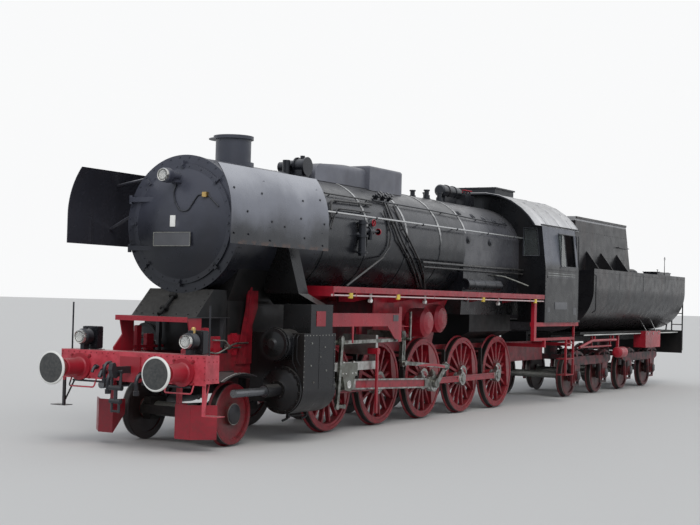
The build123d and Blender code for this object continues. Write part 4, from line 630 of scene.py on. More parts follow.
def dress_nodes():
    """A material for every CAD node; what isn't named here is black."""
    bleached = enamel("casing_grey", (0.115, 0.118, 0.14), 0.42, dust=0.4, grime=0.0, streaks=0.2, waves=0.3)
    stack = enamel("chimney_black", (0.045, 0.048, 0.064), 0.42, dust=0.2, grime=0.0, streaks=0.15, waves=0.2)
    step_red = enamel("step_red", red_color, 0.38, dust=0.2, grime=0.95, streaks=0.35, waves=0.0, specular=0.35)
    shared = (
        (smoky, ("smokebox", "smokebox_door")), (stack, ("chimney", "chimney_cover")),
        (banded_enamel(), ("boiler_barrel", "firebox")), (bogie_paint(), ("bogie_frame_1", "bogie_frame_2")),
        (red, ("rail_guards", "air_reservoirs", "motion_brackets", "tender_fittings")),
        (soot, ("leading_truck", "drag_box", "brake_gear", "tender_frame", "ashpan", "tender_ladder")))
    looks = {name: material for material, names in shared for name in names}
    looks.update({
        "boiler_pipes": pipe_paint(), "smoke_deflectors": deflector_paint(), "smokebox_saddle": saddle_paint(),
        "dome_casing": bleached, "cylinders": casing, "cab_shell": cab_paint(), "cab_roof": roof_black,
        "cab_steps": step_red, "running_boards": decked_red(), "main_frame": frame_paint(),
        "buffer_beam": beam_paint(), "front_platform": platform_paint(), "front_coupling": coupling_paint(),
        "front_buffers": buffer_paint("buffer_red", -7.75),
        "tender_buffers": buffer_paint("rear_buffer_red", 15.225),
        "tender_coupling": bare_steel("rear_coupling_steel", (0.05, 0.047, 0.045), 0.5),
        "valve_gear": gear_paint(), "slide_bars": bare_steel("slide_bar_steel", rod_color, 0.36, 0.35),
        "tender_tub": tub_black,
        "coal_bunker": tender_paint("bunker_black", 0.35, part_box("coal_bunker")[1].z),
        "leading_wheelset": wheel_paint("leading_wheel_red", at(leading_axle, 0, leading_radius), leading_radius,
                                        0.75)})
    for name in ("left", "right"):
        looks[f"crosshead_{name}"] = bare_steel(f"crosshead_{name}_steel", (0.19, 0.195, 0.17), 0.38)
        ends = small_end, big_end = joints[f"main_rod_{name}_swing"], joints[f"side_rod_{name}_pin"]
        pins = [big_end + Vector((x, 0, 0)) for x in coupled_axles]
        looks[f"side_rod_{name}"] = rod_paint(f"side_rod_{name}_steel", side_rod_y, 0.027, pins, 0.145)
        looks[f"main_rod_{name}"] = rod_paint(f"main_rod_{name}_steel", main_rod_y, 0.018, ends, 0.23)
    for kind, axles, radius, worn in (("coupled", coupled_axles, wheel_radius, 1.0),
                                      ("tender", tender_axles, tender_wheel_radius, 0.4)):
        for index, x in enumerate(axles, start=1):
            paint = wheel_paint(f"{kind}_wheel_{index}_red", at(x, 0, radius), radius, worn)
            looks[f"{kind}_wheelset_{index}"] = paint
    for name, obj in frame["nodes"].items():
        obj.data.materials.clear()
        obj.data.materials.append(looks.get(name, black))


def rounded(points, bend):
    """The points with each corner replaced by a short arc."""
    if bend <= 0:
        return points
    line = [points[0]]
    for before, corner, after in zip(points, points[1:], points[2:]):
        back, onward = before - corner, after - corner
        reach = min(bend, back.length * 0.45, onward.length * 0.45)
        start, end = corner + back.normalized() * reach, corner + onward.normalized() * reach
        for step in range(7):
            t = step / 6
            line.append(start * (1 - t) ** 2 + corner * 2 * t * (1 - t) + end * t ** 2)
    return line + [points[-1]]


def circle_points(centre, radius, count, plane="yz", start=0.0):
    """Points evenly round a circle, each with the direction away from its centre."""
    for index in range(count):
        angle = start + 2 * math.pi * index / count
        first, second = math.cos(angle), math.sin(angle)
        away = Vector((0, first, second)) if plane == "yz" else Vector((first, 0, second))
        yield centre + away * radius, away


def circle_through(a, b, c):
    """The centre and radius of the circle through three points of a plane."""
    (ax, ay), (bx, by), (cx, cy) = a, b, c
    double = 2 * (ax * (by - cy) + bx * (cy - ay) + cx * (ay - by))
    squares = [px * px + py * py for px, py in (a, b, c)]
    x = (squares[0] * (by - cy) + squares[1] * (cy - ay) + squares[2] * (ay - by)) / double
    y = (squares[0] * (cx - bx) + squares[1] * (ax - cx) + squares[2] * (bx - ax)) / double
    return x, y, math.hypot(ax - x, ay - y)


class Form:
    """One piece's mesh, put together from plain forms.

    A place is a Vector, or three numbers for at(). The y of such numbers, and of a direction's,
    grows outwards on the side that way names; on the far side it is the frame's own y.
    """

    def __init__(self, way=far):
        self.mesh = bmesh.new()
        self.way = way

    def sides(self):
        """Both sides in turn, the far one last."""
        for self.way in (near, far):
            yield self.way

    def moved(self, place, x, y, z):
        return place + Vector((x, self.way * y, z))

    def place(self, spot):
        return spot if isinstance(spot, Vector) else self.moved(origin, *spot)

    def toward(self, axis):
        return (axis if isinstance(axis, Vector) else self.moved(Vector(), *axis)).normalized()

    def box(self, low, high, bevel=0.0, turn=None):
        low, high = self.place(low), self.place(high)
        middle, size = (low + high) / 2, high - low
        place = Matrix.Translation(middle) @ (turn or Matrix.Identity(4)) @ Matrix.Diagonal((*map(abs, size), 1))
        made = bmesh.ops.create_cube(self.mesh, size=1, matrix=place)
        if bevel:
            edges = list({edge for vert in made["verts"] for edge in vert.link_edges})
            bmesh.ops.bevel(self.mesh, geom=edges, offset=bevel, segments=2, affect="EDGES", clamp_overlap=True)

    def cone(self, start, end, radius, end_radius, sides):
        start, end = self.place(start), self.place(end)
        line = end - start
        place = Matrix.Translation((start + end) / 2) @ line.to_track_quat("Z", "Y").to_matrix().to_4x4()
        bmesh.ops.create_cone(self.mesh, cap_ends=True, cap_tris=False, segments=sides, radius1=radius,
                              radius2=end_radius, depth=line.length, matrix=place)

    def rod(self, start, end, radius, sides=14):
        self.cone(start, end, radius, radius, sides)

    def rods(self, corners, radius, sides=8):
        for start, end in zip(corners, corners[1:]):
            self.rod(start, end, radius, sides)

    def bolt(self, place, axis, size=0.012):
        """A hexagon head on a washer."""
        place, axis = self.place(place), self.toward(axis)
        self.rod(place - axis * 0.002, place + axis * 0.0035, size * 1.25, 10)
        self.cone(place, place + axis * size, size, size * 0.92, 6)

    def rivet(self, place, axis, size=0.012):
        place, axis = self.place(place), self.toward(axis)
        shoulder = place + axis * size * 0.35
        self.cone(place - axis * 0.003, shoulder, size, size * 0.86, 8)
        self.cone(shoulder, place + axis * size * 0.65, size * 0.86, size * 0.35, 8)

    def row(self, mark, start, end, count, axis, size):
        """Rivets or bolts, as mark says, evenly spaced from start to end."""
        start, end = self.place(start), self.place(end)
        for index in range(count):
            mark(start.lerp(end, index / (count - 1)), axis, size)

    def ring(self, mark, centre, radius, count, axis, size, plane="yz", start=0.0):
        """Rivets or bolts, as mark says, evenly round a circle."""
        for place, _ in circle_points(self.place(centre), radius, count, plane, start):
            mark(place, axis, size)

    def turn(self, profile, place, axis, sides=24):
        """A turned form. The profile's rows are (distance along the axis, radius)."""
        place, axis = self.place(place), self.toward(axis)
        upright = axis.to_track_quat("Z", "Y").to_matrix()
        angles = [2 * math.pi * index / sides for index in range(sides)]
        rings = []
        for along, radius in profile:
            centre = place + axis * along
            if radius < 1e-6:
                rings.append([self.mesh.verts.new(centre)])
                continue
            rings.append([self.mesh.verts.new(
                centre + upright @ Vector((radius * math.cos(angle), radius * math.sin(angle), 0)))
                for angle in angles])
        for first, second in zip(rings, rings[1:]):
            for index in range(sides):
                following = (index + 1) % sides
                corners = [first[index % len(first)], first[following % len(first)],
                           second[following % len(second)], second[index % len(second)]]
                unique = list(dict.fromkeys(corners))
                if len(unique) > 2:
                    self.mesh.faces.new(unique)
        for ring in (rings[0], rings[-1]):
            if len(ring) > 2:
                self.mesh.faces.new(ring)

    def tube(self, points, radius, bend=0.0, sides=10):
        """A pipe through the points, its corners rounded to the bend."""
        line = rounded([self.place(point) for point in points], bend)
        side = None
        rings = []
        for index, point in enumerate(line):
            onward = line[min(index + 1, len(line) - 1)] - line[max(index - 1, 0)]
            onward.normalize()
            if side is None:
                side = onward.orthogonal().normalized()
            side = (side - onward * side.dot(onward)).normalized()
            other = onward.cross(side)
            rings.append([self.mesh.verts.new(point + (side * math.cos(angle) + other * math.sin(angle)) * radius)
                          for angle in (2 * math.pi * step / sides for step in range(sides))])
        for first, second in zip(rings, rings[1:]):
            for index in range(sides):
                following = (index + 1) % sides
                self.mesh.faces.new((first[index], first[following], second[following], second[index]))
        self.mesh.faces.new(list(reversed(rings[0])))
        self.mesh.faces.new(rings[-1])

    def sheet(self, outline, thickness=0.006):
        """A flat plate: its outline's corners in order, thickened along their normal."""
        face = self.mesh.faces.new([self.mesh.verts.new(self.place(corner)) for corner in outline])
        face.normal_update()
        away = face.normal * thickness
        made = bmesh.ops.extrude_face_region(self.mesh, geom=[face])
        moved = [item for item in made["geom"] if isinstance(item, bmesh.types.BMVert)]
        bmesh.ops.translate(self.mesh, verts=moved, vec=away)

    def finish(self, name, material, slot="black_paint", body="engine"):
        bmesh.ops.recalc_face_normals(self.mesh, faces=self.mesh.faces)
        data = bpy.data.meshes.new(name)
        self.mesh.to_mesh(data)
        self.mesh.free()
        data.polygons.foreach_set("use_smooth", [True] * len(data.polygons))
        data.set_sharp_from_angle(angle=math.radians(38))
        data.materials.append(material)
        piece = add_object(name, data)
        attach(piece, body)


def deflector_point(x, z, way):
    """A point on a smoke deflector's outer face, and the direction out of it."""
    flat_y, flat_top_z = 1.407, 3.17
    if z <= flat_top_z:
        return at(x, way * flat_y, z), Vector((0, way, 0))
    centre_y, centre_z, radius = circle_through((flat_y, flat_top_z), (1.34, 3.53), (1.168, 3.83))
    angle = math.asin(min(1.0, (z - centre_z) / radius))
    away = Vector((0, way * math.cos(angle), math.sin(angle)))
    return at(x, way * centre_y, centre_z) + away * radius, away


def boiler_point(x, angle, above=0.0, way=near):
    """A point above the barrel, its angle in degrees from the top, and the direction away from the axis."""
    turn = math.radians(angle)
    away = Vector((0, way * math.sin(turn), math.cos(turn)))
    return at(x, 0, boiler_z) + away * (barrel_radius + above), away


def roof_height(y):
    """The roof's height at a distance from the middle, on its flat or its arc."""
    half, flat = cab_eaves_half_width, 0.25
    if y <= flat:
        return cab_crown_z
    shoulder = (0.916, cab_crown_z - 0.188)
    centre_y, centre_z, radius = circle_through((half, cab_eaves_z), shoulder, (flat, cab_crown_z))
    return centre_z + math.sqrt(max(0.0, radius ** 2 - (min(y, half) - centre_y) ** 2))


def named_sides(near_name="near", far_name="far"):
    return (near, near_name), (far, far_name)


def smokebox_details():
    """Rivet rings on the smokebox, the door's bolts, plates, lamp cable and its junction box."""
    form = Form()
    for x in (smokebox_front_x + 0.1, smokebox_front_x + 0.16, -3.98, -3.9):
        for place, away in circle_points(at(x, 0, boiler_z), smokebox_radius, 72):
            form.rivet(place, away, 0.011)
    form.ring(form.bolt, (smokebox_front_x, 0, boiler_z), 0.945, 36, ahead, 0.012, start=0.087)
    form.finish("smokebox_rivets", smoky)

    dish_radius, dish_edge = 2.6, 0.78
    centre_x = door_x - 0.03 + math.sqrt(dish_radius ** 2 - dish_edge ** 2)

    def door_surface(y, z):
        reach = math.hypot(y, z - boiler_z)
        return centre_x - math.sqrt(dish_radius ** 2 - reach ** 2)

    def finish(form, name, material, slot="black_paint"):
        form.finish(name, material, slot, "smokebox_door")

    form = Form()
    form.ring(form.bolt, (door_x - 0.029, 0, boiler_z), 0.815, 24, ahead, 0.011, start=0.13)
    finish(form, "door_bolts", smoky)

    # the bare plate stands on two studs, a little to the far side of the middle
    middle_y, half, low_z, high_z = 0.06, 0.32, 2.75, 2.94
    left, right = middle_y - half, middle_y + half
    form = Form()
    plate_x = door_surface(middle_y, high_z) - 0.012
    form.box((plate_x - 0.008, left, low_z), (plate_x, right, high_z), 0.004)
    for y in (-0.28, 0.28):
        form.rod((plate_x, middle_y + y, 2.845), (plate_x + 0.05, middle_y + y, 2.845), 0.012)
    finish(form, "door_plate", plate_grey)
    form = Form()
    corners = ((left, low_z), (right, low_z), (right, high_z), (left, high_z), (left, low_z))
    form.rods([(plate_x - 0.009, y, z) for y, z in corners], 0.005, 6)
    finish(form, "door_plate_edge", steel, "rod_steel")
    form = Form()
    small_x = door_surface(middle_y, 3.1)
    form.box((small_x - 0.012, middle_y - 0.045, 3.02), (small_x + 0.004, middle_y + 0.045, 3.18), 0.003)
    finish(form, "door_small_plate", white)

    # the lamp's cable hangs in clips from the lamp to a junction box, and goes on to the rim
    form = Form()
    route = ((0.05, 3.62), (0.08, 3.5), (0.03, 3.36), (-0.06, 3.24), (-0.2, 3.24), (-0.27, 3.36), (-0.34, 3.47),
             (-0.42, 3.47))
    to_rim = ((-0.49, 3.46), (-0.58, 3.38), (-0.66, 3.3))
    for line, bend in ((route, 0.08), (to_rim, 0.05)):
        form.tube([(door_surface(y, z) - 0.014, y, z) for y, z in line], 0.009, bend, 8)
    for y, z in (route[2], route[5]):
        x = door_surface(y, z)
        form.box((x - 0.02, y - 0.012, z - 0.012), (x + 0.01, y + 0.012, z + 0.012))
    finish(form, "lamp_cable", black)
    form = Form()
    y, z = -0.45, 3.47
    x = door_surface(y, z)
    form.box((x - 0.05, y - 0.04, z - 0.035), (x + 0.01, y + 0.04, z + 0.035), 0.006)
    finish(form, "junction_box", brass, "brass")


def lamp_glass(name, place, radius, body="engine"):
    """A lamp's bezel, bulging lens and mirror, looking forwards."""
    angles = [math.radians(90 * step / 6) for step in range(7)]
    bulge = [(0.004 + radius * 0.26 * math.sin(angle), 0.86 * math.cos(angle)) for angle in angles]
    # rows of each profile: distance along the axis, share of the lamp's radius
    bezel = ((0.0, 0.86), (0.016, 0.9), (0.022, 1.02), (0.0, 1.1), (-0.02, 1.1), (-0.02, 0.86))
    mirror = ((-0.014, 0.84), (-0.03, 0.6), (-0.042, 0.3), (-0.045, 0.0))
    for part, profile, material, slot in (("bezel", bezel, bright, "rod_steel"),
                                          ("lens", [(-0.012, 0.86), *bulge], lens, "lamp_glass"),
                                          ("mirror", mirror, bright, "rod_steel")):
        form = Form()
        form.turn([(along, radius * share) for along, share in profile], place, ahead, 40)
        form.finish(f"{name}_{part}", material, slot, body)


def front_end_details():
    """Lamp glasses and boxes, beam rivets, housing bolts, brake pipes and cocks."""
    for way, name in named_sides():
        lamp_glass(f"beam_lamp_{name}", at(beam_x - 0.006, way * lamp_y, 1.455), 0.088)
    lamp_glass("door_lamp", at(door_x - 0.401, 0.06, boiler_z + 0.66), 0.086, "smokebox_door")
    form = Form()
    for _ in form.sides():
        form.row(form.rivet, (beam_x, 0.3, 1.25), (beam_x, 1.2, 1.25), 10, ahead, 0.011)
        for y in (0.72, 1.03):
            for z in (0.91, 1.2):
                form.bolt((beam_x - 0.002, y, z), ahead, 0.02)
        for y in (0.42, 1.215):
            form.row(form.rivet, (beam_x, y, 0.97), (beam_x, y, 1.21), 4, ahead, 0.011)
        for x in (-7.08, -6.98, -6.9):
            for z in (0.97, 1.2):
                form.rivet((x, 1.23, z), out, 0.011)
    form.row(form.rivet, (platform_x - 0.01, -0.56, 1.73), (platform_x - 0.01, 0.56, 1.73), 11, ahead, 0.009)
    form.finish("beam_rivets", red, "red_paint")

    form = Form()
    # y, radius, bend and sides of each pipe, x and z of its points, and its collars' x, z, x, z and radius
    pipes = (
        (0.42, 0.03, 0.05, 14, ((-7.16, 1.0), (-7.25, 1.0), (-7.29, 0.93)), ((-7.2, 1.0, -7.235, 1.0, 0.046),)),
        (0.56, 0.022, 0.04, 12, ((-7.16, 1.06), (-7.24, 1.06), (-7.28, 0.99)),
         ((-7.19, 1.06, -7.22, 1.06, 0.035),)),
        (0.24, 0.028, 0.06, 14, ((-7.16, 0.99), (-7.29, 0.98), (-7.33, 0.9), (-7.32, 0.76)),
         ((-7.2, 0.989, -7.24, 0.985, 0.044), (-7.322, 0.78, -7.318, 0.72, 0.042))),
        (0.34, 0.022, 0.05, 12, ((-7.16, 1.13), (-7.26, 1.12), (-7.3, 1.03), (-7.28, 0.9)),
         ((-7.282, 0.92, -7.278, 0.86, 0.036),)))
    for _ in form.sides():
        for y, radius, bend, sides, line, collars in pipes:
            form.tube([(x, y, z) for x, z in line], radius, bend, sides)
            for x, z, end_x, end_z, collar in collars:
                form.rod((x, y, z), (end_x, y, end_z), collar, 16)
        # the cock's spindle and handle, and the pipe along the beam's foot
        form.rod((-7.22, 0.42, 1.0), (-7.22, 0.42, 1.09), 0.012)
        form.tube([(-7.22, 0.42, 1.09), (-7.22, 0.32, 1.12)], 0.011)
        form.tube([(-7.155, 0.3, 0.86), (-7.155, 1.0, 0.86)], 0.014)
    form.finish("beam_pipes", black)
    form = Form()
    for _ in form.sides():
        form.box((-6.95, lamp_y - 0.125, 1.29), (-6.81, lamp_y + 0.125, 1.6), 0.012)
        form.box((-6.97, lamp_y - 0.14, 1.265), (-6.79, lamp_y + 0.14, 1.285), 0.003)
        for z in (1.34, 1.55):
            for dy in (-0.1, 0.1):
                form.bolt((-6.95, lamp_y + dy, z), ahead, 0.009)
    form.finish("lamp_boxes", black)


def frame_details():
    """Bolts, brackets and pipes on the frame ahead of the cylinders, the apron's pipe, the guards' edges."""
    form = Form()
    for _ in form.sides():
        form.row(form.bolt, (-6.95, frame_y, 1.14), (-5.4, frame_y, 1.14), 18, out, 0.013)
        form.row(form.rivet, (-6.9, frame_y, 1.04), (-5.45, frame_y, 1.04), 12, out, 0.012)
        # x of each bracket, its width and its top
        for x, width, top in ((-6.3, 0.1, 1.62), (-6.05, 0.16, 1.5), (-5.62, 0.12, 1.54)):
            form.box((x - width / 2, 0.55, 1.225), (x + width / 2, 0.62, top), 0.008)
            for dz in (0.06, 0.2):
                for dx in (-width * 0.3, width * 0.3):
                    form.bolt((x + dx, 0.62, 1.225 + dz), out)
        form.box((-6.4, 0.548, 1.3), (-5.45, 0.585, 1.34), 0.004)
    form.finish("frame_brackets", red, "red_paint")
    form = Form()
    for _ in form.sides():
        form.tube([(-6.4, 0.66, 1.3), (-6.1, 0.66, 1.26), (-5.95, 0.68, 1.32), (-5.7, 0.68, 1.4),
                   (-5.35, 0.66, 1.4)], 0.014, 0.08)
        form.tube([(-6.2, 0.64, 1.45), (-5.9, 0.66, 1.44), (-5.8, 0.66, 1.34), (-5.5, 0.64, 1.34)], 0.011, 0.05)
        form.turn([(-0.03, 0.02), (-0.03, 0.04), (0.03, 0.04), (0.03, 0.02)], (-5.86, 0.665, 1.35), rearwards, 16)
    form.finish("frame_pipes", steel, "rod_steel")

    form = Form()
    slope = (-0.68, 0, 0.73)
    form.tube([(-6.2, 0.02, 2.08), (-6.5, 0.02, 1.82), (-6.56, 0.02, 1.79)], 0.028, 0.03, 14)
    for x, z in ((-6.24, 2.05), (-6.44, 1.875)):
        form.box((x - 0.03, -0.04, z - 0.03), (x + 0.03, 0.08, z + 0.03), 0.008,
                 Matrix.Rotation(math.radians(-43), 4, "Y"))
    for _ in form.sides():
        for x, z in ((-6.15, 2.084), (-6.24, 1.994), (-6.33, 1.91), (-6.42, 1.825)):
            form.rivet((x, 0.52, z), slope, 0.011)
        for y in (0.2, 0.4):
            form.rivet((-6.45, y, 1.8), slope, 0.011)
    form.finish("apron_pipe", soot)

    form = Form()
    start_x, end_x = -6.39, -5.6
    centre_x, centre_z, radius = circle_through((start_x, 0.9), (-6.0, 1.0), (end_x, 0.95))
    steps = [start_x + (end_x - start_x) * step / 14 for step in range(15)]
    edge = [(x, 0.942, centre_z + math.sqrt(radius ** 2 - (x - centre_x) ** 2)) for x in steps]
    for _ in form.sides():
        form.tube(edge, 0.006, sides=8)
    form.finish("guard_edges", bright, "rod_steel")
    form = Form()
    form.turn([(0.0, 0.03), (0.07, 0.03), (0.085, 0.018), (0.085, 0.0)], (-6.99, -lamp_y, 1.56), up, 20)
    form.finish("lamp_cap", brass, "brass")
    form = Form()
    form.tube([(-6.99, 0.86, 1.28), (-7.0, 0.99, 1.262), (-7.0, 1.1, 1.262)], 0.009, 0.04, 8)
    form.finish("lamp_conduit", white, "rod_steel")


def cylinder_details():
    """Cover bolts, sheet seams, edge bolts, drain cocks and bare plates on both cylinders."""
    for way, name in named_sides():
        form = Form(way)
        y = cylinder_y
        # x, z and radius of each ring of bolts, their number, first angle, direction and size
        rings = (
            (-5.2255, cylinder_z, 0.315, 16, 0.1, ahead, 0.02), (-5.3205, cylinder_z, 0.112, 6, 0.0, ahead, 0.014),
            (-5.4005, valve_z, 0.226, 12, 0.1, ahead, 0.015), (-4.2085, valve_z, 0.225, 12, 0.1, rearwards, 0.014))
        for x, z, radius, count, start, axis, size in rings:
            form.ring(form.bolt, (x, y, z), radius, count, axis, size, start=start)
        # sheet edges of the cladding
        for x in (-5.16, -4.74, -4.32):
            form.box((x - 0.018, seated_y, 0.76), (x + 0.018, casing_y + 0.003, 1.55), 0.001)
        # drain cocks and their rod
        for x in (-5.0, -4.5):
            form.tube([(x, y, 0.42), (x, y, 0.33), (x - 0.1, y - 0.03, 0.3)], 0.019, 0.04)
            form.rod((x, y, 0.39), (x, y, 0.34), 0.034, 6)
        form.tube([(-5.0, y, 0.36), (-4.5, y, 0.36)], 0.008)
        # y and x of each oil pipe on the front of the chest, its lower bend, and y and z of its end
        for pipe_y, x, low_z, end_y, end_z in ((1.42, -5.24, 1.2, 1.45, 1.1), (1.36, -5.25, 1.15, 1.4, 1.02)):
            form.tube([(-5.19, pipe_y, 1.54), (x, pipe_y, 1.5), (x, pipe_y, low_z), (-5.19, end_y, end_z)], 0.008,
                      0.03)
        form.finish(f"cylinder_fittings_{name}", casing)

        form = Form(way)
        # x and z of both ends of each row, and its number of rivets
        for x, z, end_x, end_z, count in ((-5.165, 0.8, -5.165, 1.53, 11), (-4.315, 0.8, -4.315, 1.53, 8),
                                          (-5.1, 1.53, -4.4, 1.53, 9)):
            form.row(form.rivet, (x, seated_y, z), (end_x, seated_y, end_z), count, out, 0.011)
        for x, z in ((-4.96, 1.42), (-4.6, 1.36), (-4.98, 1.1), (-4.55, 1.02), (-4.72, 1.22), (-4.9, 0.86)):
            form.bolt((x, seated_y, z), out)
        form.finish(f"casing_bolts_{name}", steel, "rod_steel")
        form = Form(way)
        form.box((-4.86, casing_y - 0.001, 1.66), (-4.6, casing_y + 0.006, 1.88), 0.003)
        form.finish(f"cylinder_plate_{name}", red, "red_paint")
        form = Form(way)
        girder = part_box("motion_brackets")[1].y
        form.box((-2.14, girder - 0.002, 1.725), (-1.96, girder + 0.006, 1.825), 0.003)
        form.finish(f"girder_plate_{name}", plate_grey)


def running_board_details():
    """Rivets on the edge, clamps on the pipe below and lamps over the gear."""
    for way, name in named_sides():
        form = Form(way)
        for x in (-3.85, -2.31, 1.05, 3.6):
            form.box((x - 0.05, 1.46, 2.075), (x + 0.05, seated_y, 2.19), 0.006)
            form.rod((x, 1.49, 2.1), (x, 1.4995, 2.1), 0.02)
        form.finish(f"pipe_clamps_{name}", yellow, "brass")
        form = Form(way)
        form.row(form.rivet, (-4.3, casing_y, 2.2), (3.98, casing_y, 2.2), 60, out, 0.008)
        form.finish(f"fascia_rivets_{name}", red, "red_paint")
        form = Form(way)
        for x in (-3.1, -1.2, 1.9):
            form.turn([(-0.03, 0.012), (-0.03, 0.028), (0.02, 0.034), (0.03, 0.022), (0.032, 0.0)],
                      (x, 1.41, 2.05), out, 20)
            form.box((x - 0.01, 1.4, 2.07), (x + 0.01, 1.43, 2.235), 0.002)
        form.finish(f"gear_lamps_{name}", white)


def boiler_details():
    """Washout plugs, handrail knobs, band buckles and hand wheels."""
    form = Form()
    for way in form.sides():
        for x, angle in ((1.645, 44.6), (2.255, 45.9), (2.725, 48.0), (3.2, 48.8), (3.7, 49.5)):
            place, away = boiler_point(x, angle, way=way)
            form.turn([(-0.01, 0.075), (0.012, 0.075), (0.016, 0.05), (0.03, 0.046), (0.032, 0.0)], place, away)
        for x in (1.586, 2.6):
            form.turn([(-0.05, 0.07), (0.02, 0.07), (0.024, 0.045), (0.04, 0.04), (0.042, 0.0)], (x, 0.9, 3.235),
                      out)
        for x in (-3.5, -2.2, -0.5, 0.9, 2.3, 3.6):
            place = (x, 0.985, handrail_z)
            form.turn([(-0.03, 0.0), (-0.022, 0.02), (0.0, 0.028), (0.022, 0.02), (0.03, 0.0)], place, rearwards,
                      14)
            form.rod(place, (x, 0.87, handrail_z), 0.01)
        for x in (-3.7, -2.39, -1.0, 0.33):
            place, _ = boiler_point(x, 92, 0.006, way)
            form.box(place - Vector((0.045, 0.004, 0.05)), place + Vector((0.045, 0.012, 0.05)), 0.004)
    form.finish("boiler_small_fittings", black)

    form = Form()
    # x, y, z, axis and radius of each hand wheel; all but the first two stand in two rows before the cab
    wheels = [(-2.44, -1.075, 3.305, (0, -1, 0), 0.06), (-2.23, -1.045, 3.17, rearwards, 0.055)]
    wheels += [(x, y, z, up, 0.055) for y, z in ((-0.06, 4.325), (0.06, 4.295)) for x in (3.18, 3.31, 3.44)]
    for x, y, z, axis, radius in wheels:
        place, axis = at(x, y, z), Vector(axis)
        inner, crest = radius * 0.82, radius * 0.91
        form.turn([(-0.006, inner), (0.006, inner), (0.009, crest), (0.006, radius), (-0.006, radius),
                   (-0.009, crest), (-0.006, inner)], place, axis)
        first = axis.orthogonal().normalized()
        for arm in (first, axis.cross(first)):
            form.rod(place - arm * radius * 0.86, place + arm * radius * 0.86, 0.006, 8)
        form.rod(place - axis * 0.03, place + axis * 0.012, 0.011, 10)
    form.finish("hand_wheels", red, "red_paint")


def boiler_side_details():
    """The long pipe above the handrail, its valves, the bent end pipe and the cover on the firebox's side."""
    form = Form()
    pipe_above = 0.045
    for way in form.sides():
        route = ((-1.9, 49), (0.2, 50), (1.6, 52), (3.64, 55))
        form.tube([boiler_point(x, angle, pipe_above, way)[0] for x, angle in route], 0.014, 0.2)
        for x, angle in ((-1.0, 49.4), (0.7, 50.7), (2.2, 53), (3.3, 54.6)):
            form.rod(boiler_point(x, angle, -0.01, way)[0], boiler_point(x, angle, pipe_above, way)[0], 0.009, 10)
    form.finish("upper_pipes", black)
    form = Form()
    for x, angle in ((-1.74, 45), (-1.62, 43), (-1.5, 45), (-1.38, 43), (-1.26, 45)):
        foot, away = boiler_point(x, angle, -0.02)
        head = foot + away * 0.14
        form.turn([(0.0, 0.04), (0.03, 0.04), (0.04, 0.024), (0.1, 0.024), (0.11, 0.045), (0.135, 0.045),
                   (0.14, 0.0)], foot, away, 14)
        form.rod(head, head + away * 0.03, 0.008, 8)
        form.rod(head + away * 0.03, head + away * 0.04, 0.035, 12)
    form.rod(boiler_point(-1.8, 44, 0.06)[0], boiler_point(-1.2, 44, 0.06)[0], 0.02)
    form.finish("feed_valves", black)
    form = Form(near)
    form.tube([(2.7, 0.985, 2.6), (3.1, 1.0, 2.59), (3.4, 1.16, 2.5), (3.64, 1.3, 2.42)], 0.016, 0.1)
    form.rod((2.72, 0.89, 2.6), (2.72, 0.985, 2.6), 0.009, 8)
    form.finish("bent_pipe", steel, "rod_steel")
    form = Form(near)
    start_x, y, z = 1.46, 0.93, 2.4
    form.rod((start_x, y, z), (3.0, y, z), 0.1, 28)
    form.turn([(0.0, 0.11), (0.06, 0.11), (0.06, 0.08), (0.02, 0.075), (0.02, 0.0)], (start_x, y, z), ahead, 28)
    for x in (1.7, 2.2, 2.7):
        form.turn([(-0.015, 0.1), (-0.015, 0.104), (0.015, 0.104), (0.015, 0.1)], (x, y, z), rearwards, 28)
    form.finish("firebox_cover", black)


def deflector_details():
    """Bolts on the outer faces of the smoke deflectors."""
    form = Form()
    # x and z of each bolt on the outer face
    bolts = (
        (-6.15, 3.47), (-5.1, 3.45), (-6.55, 3.2), (-5.95, 3.1), (-5.2, 3.19), (-6.51, 2.9), (-5.98, 2.84),
        (-5.62, 3.05), (-5.09, 2.92), (-4.58, 2.835), (-6.8, 3.5), (-6.85, 2.9), (-4.6, 3.5), (-4.55, 3.15))
    for way in form.sides():
        for x, z in bolts:
            form.bolt(*deflector_point(x, z, way), 0.014)
    form.finish("deflector_bolts", black)


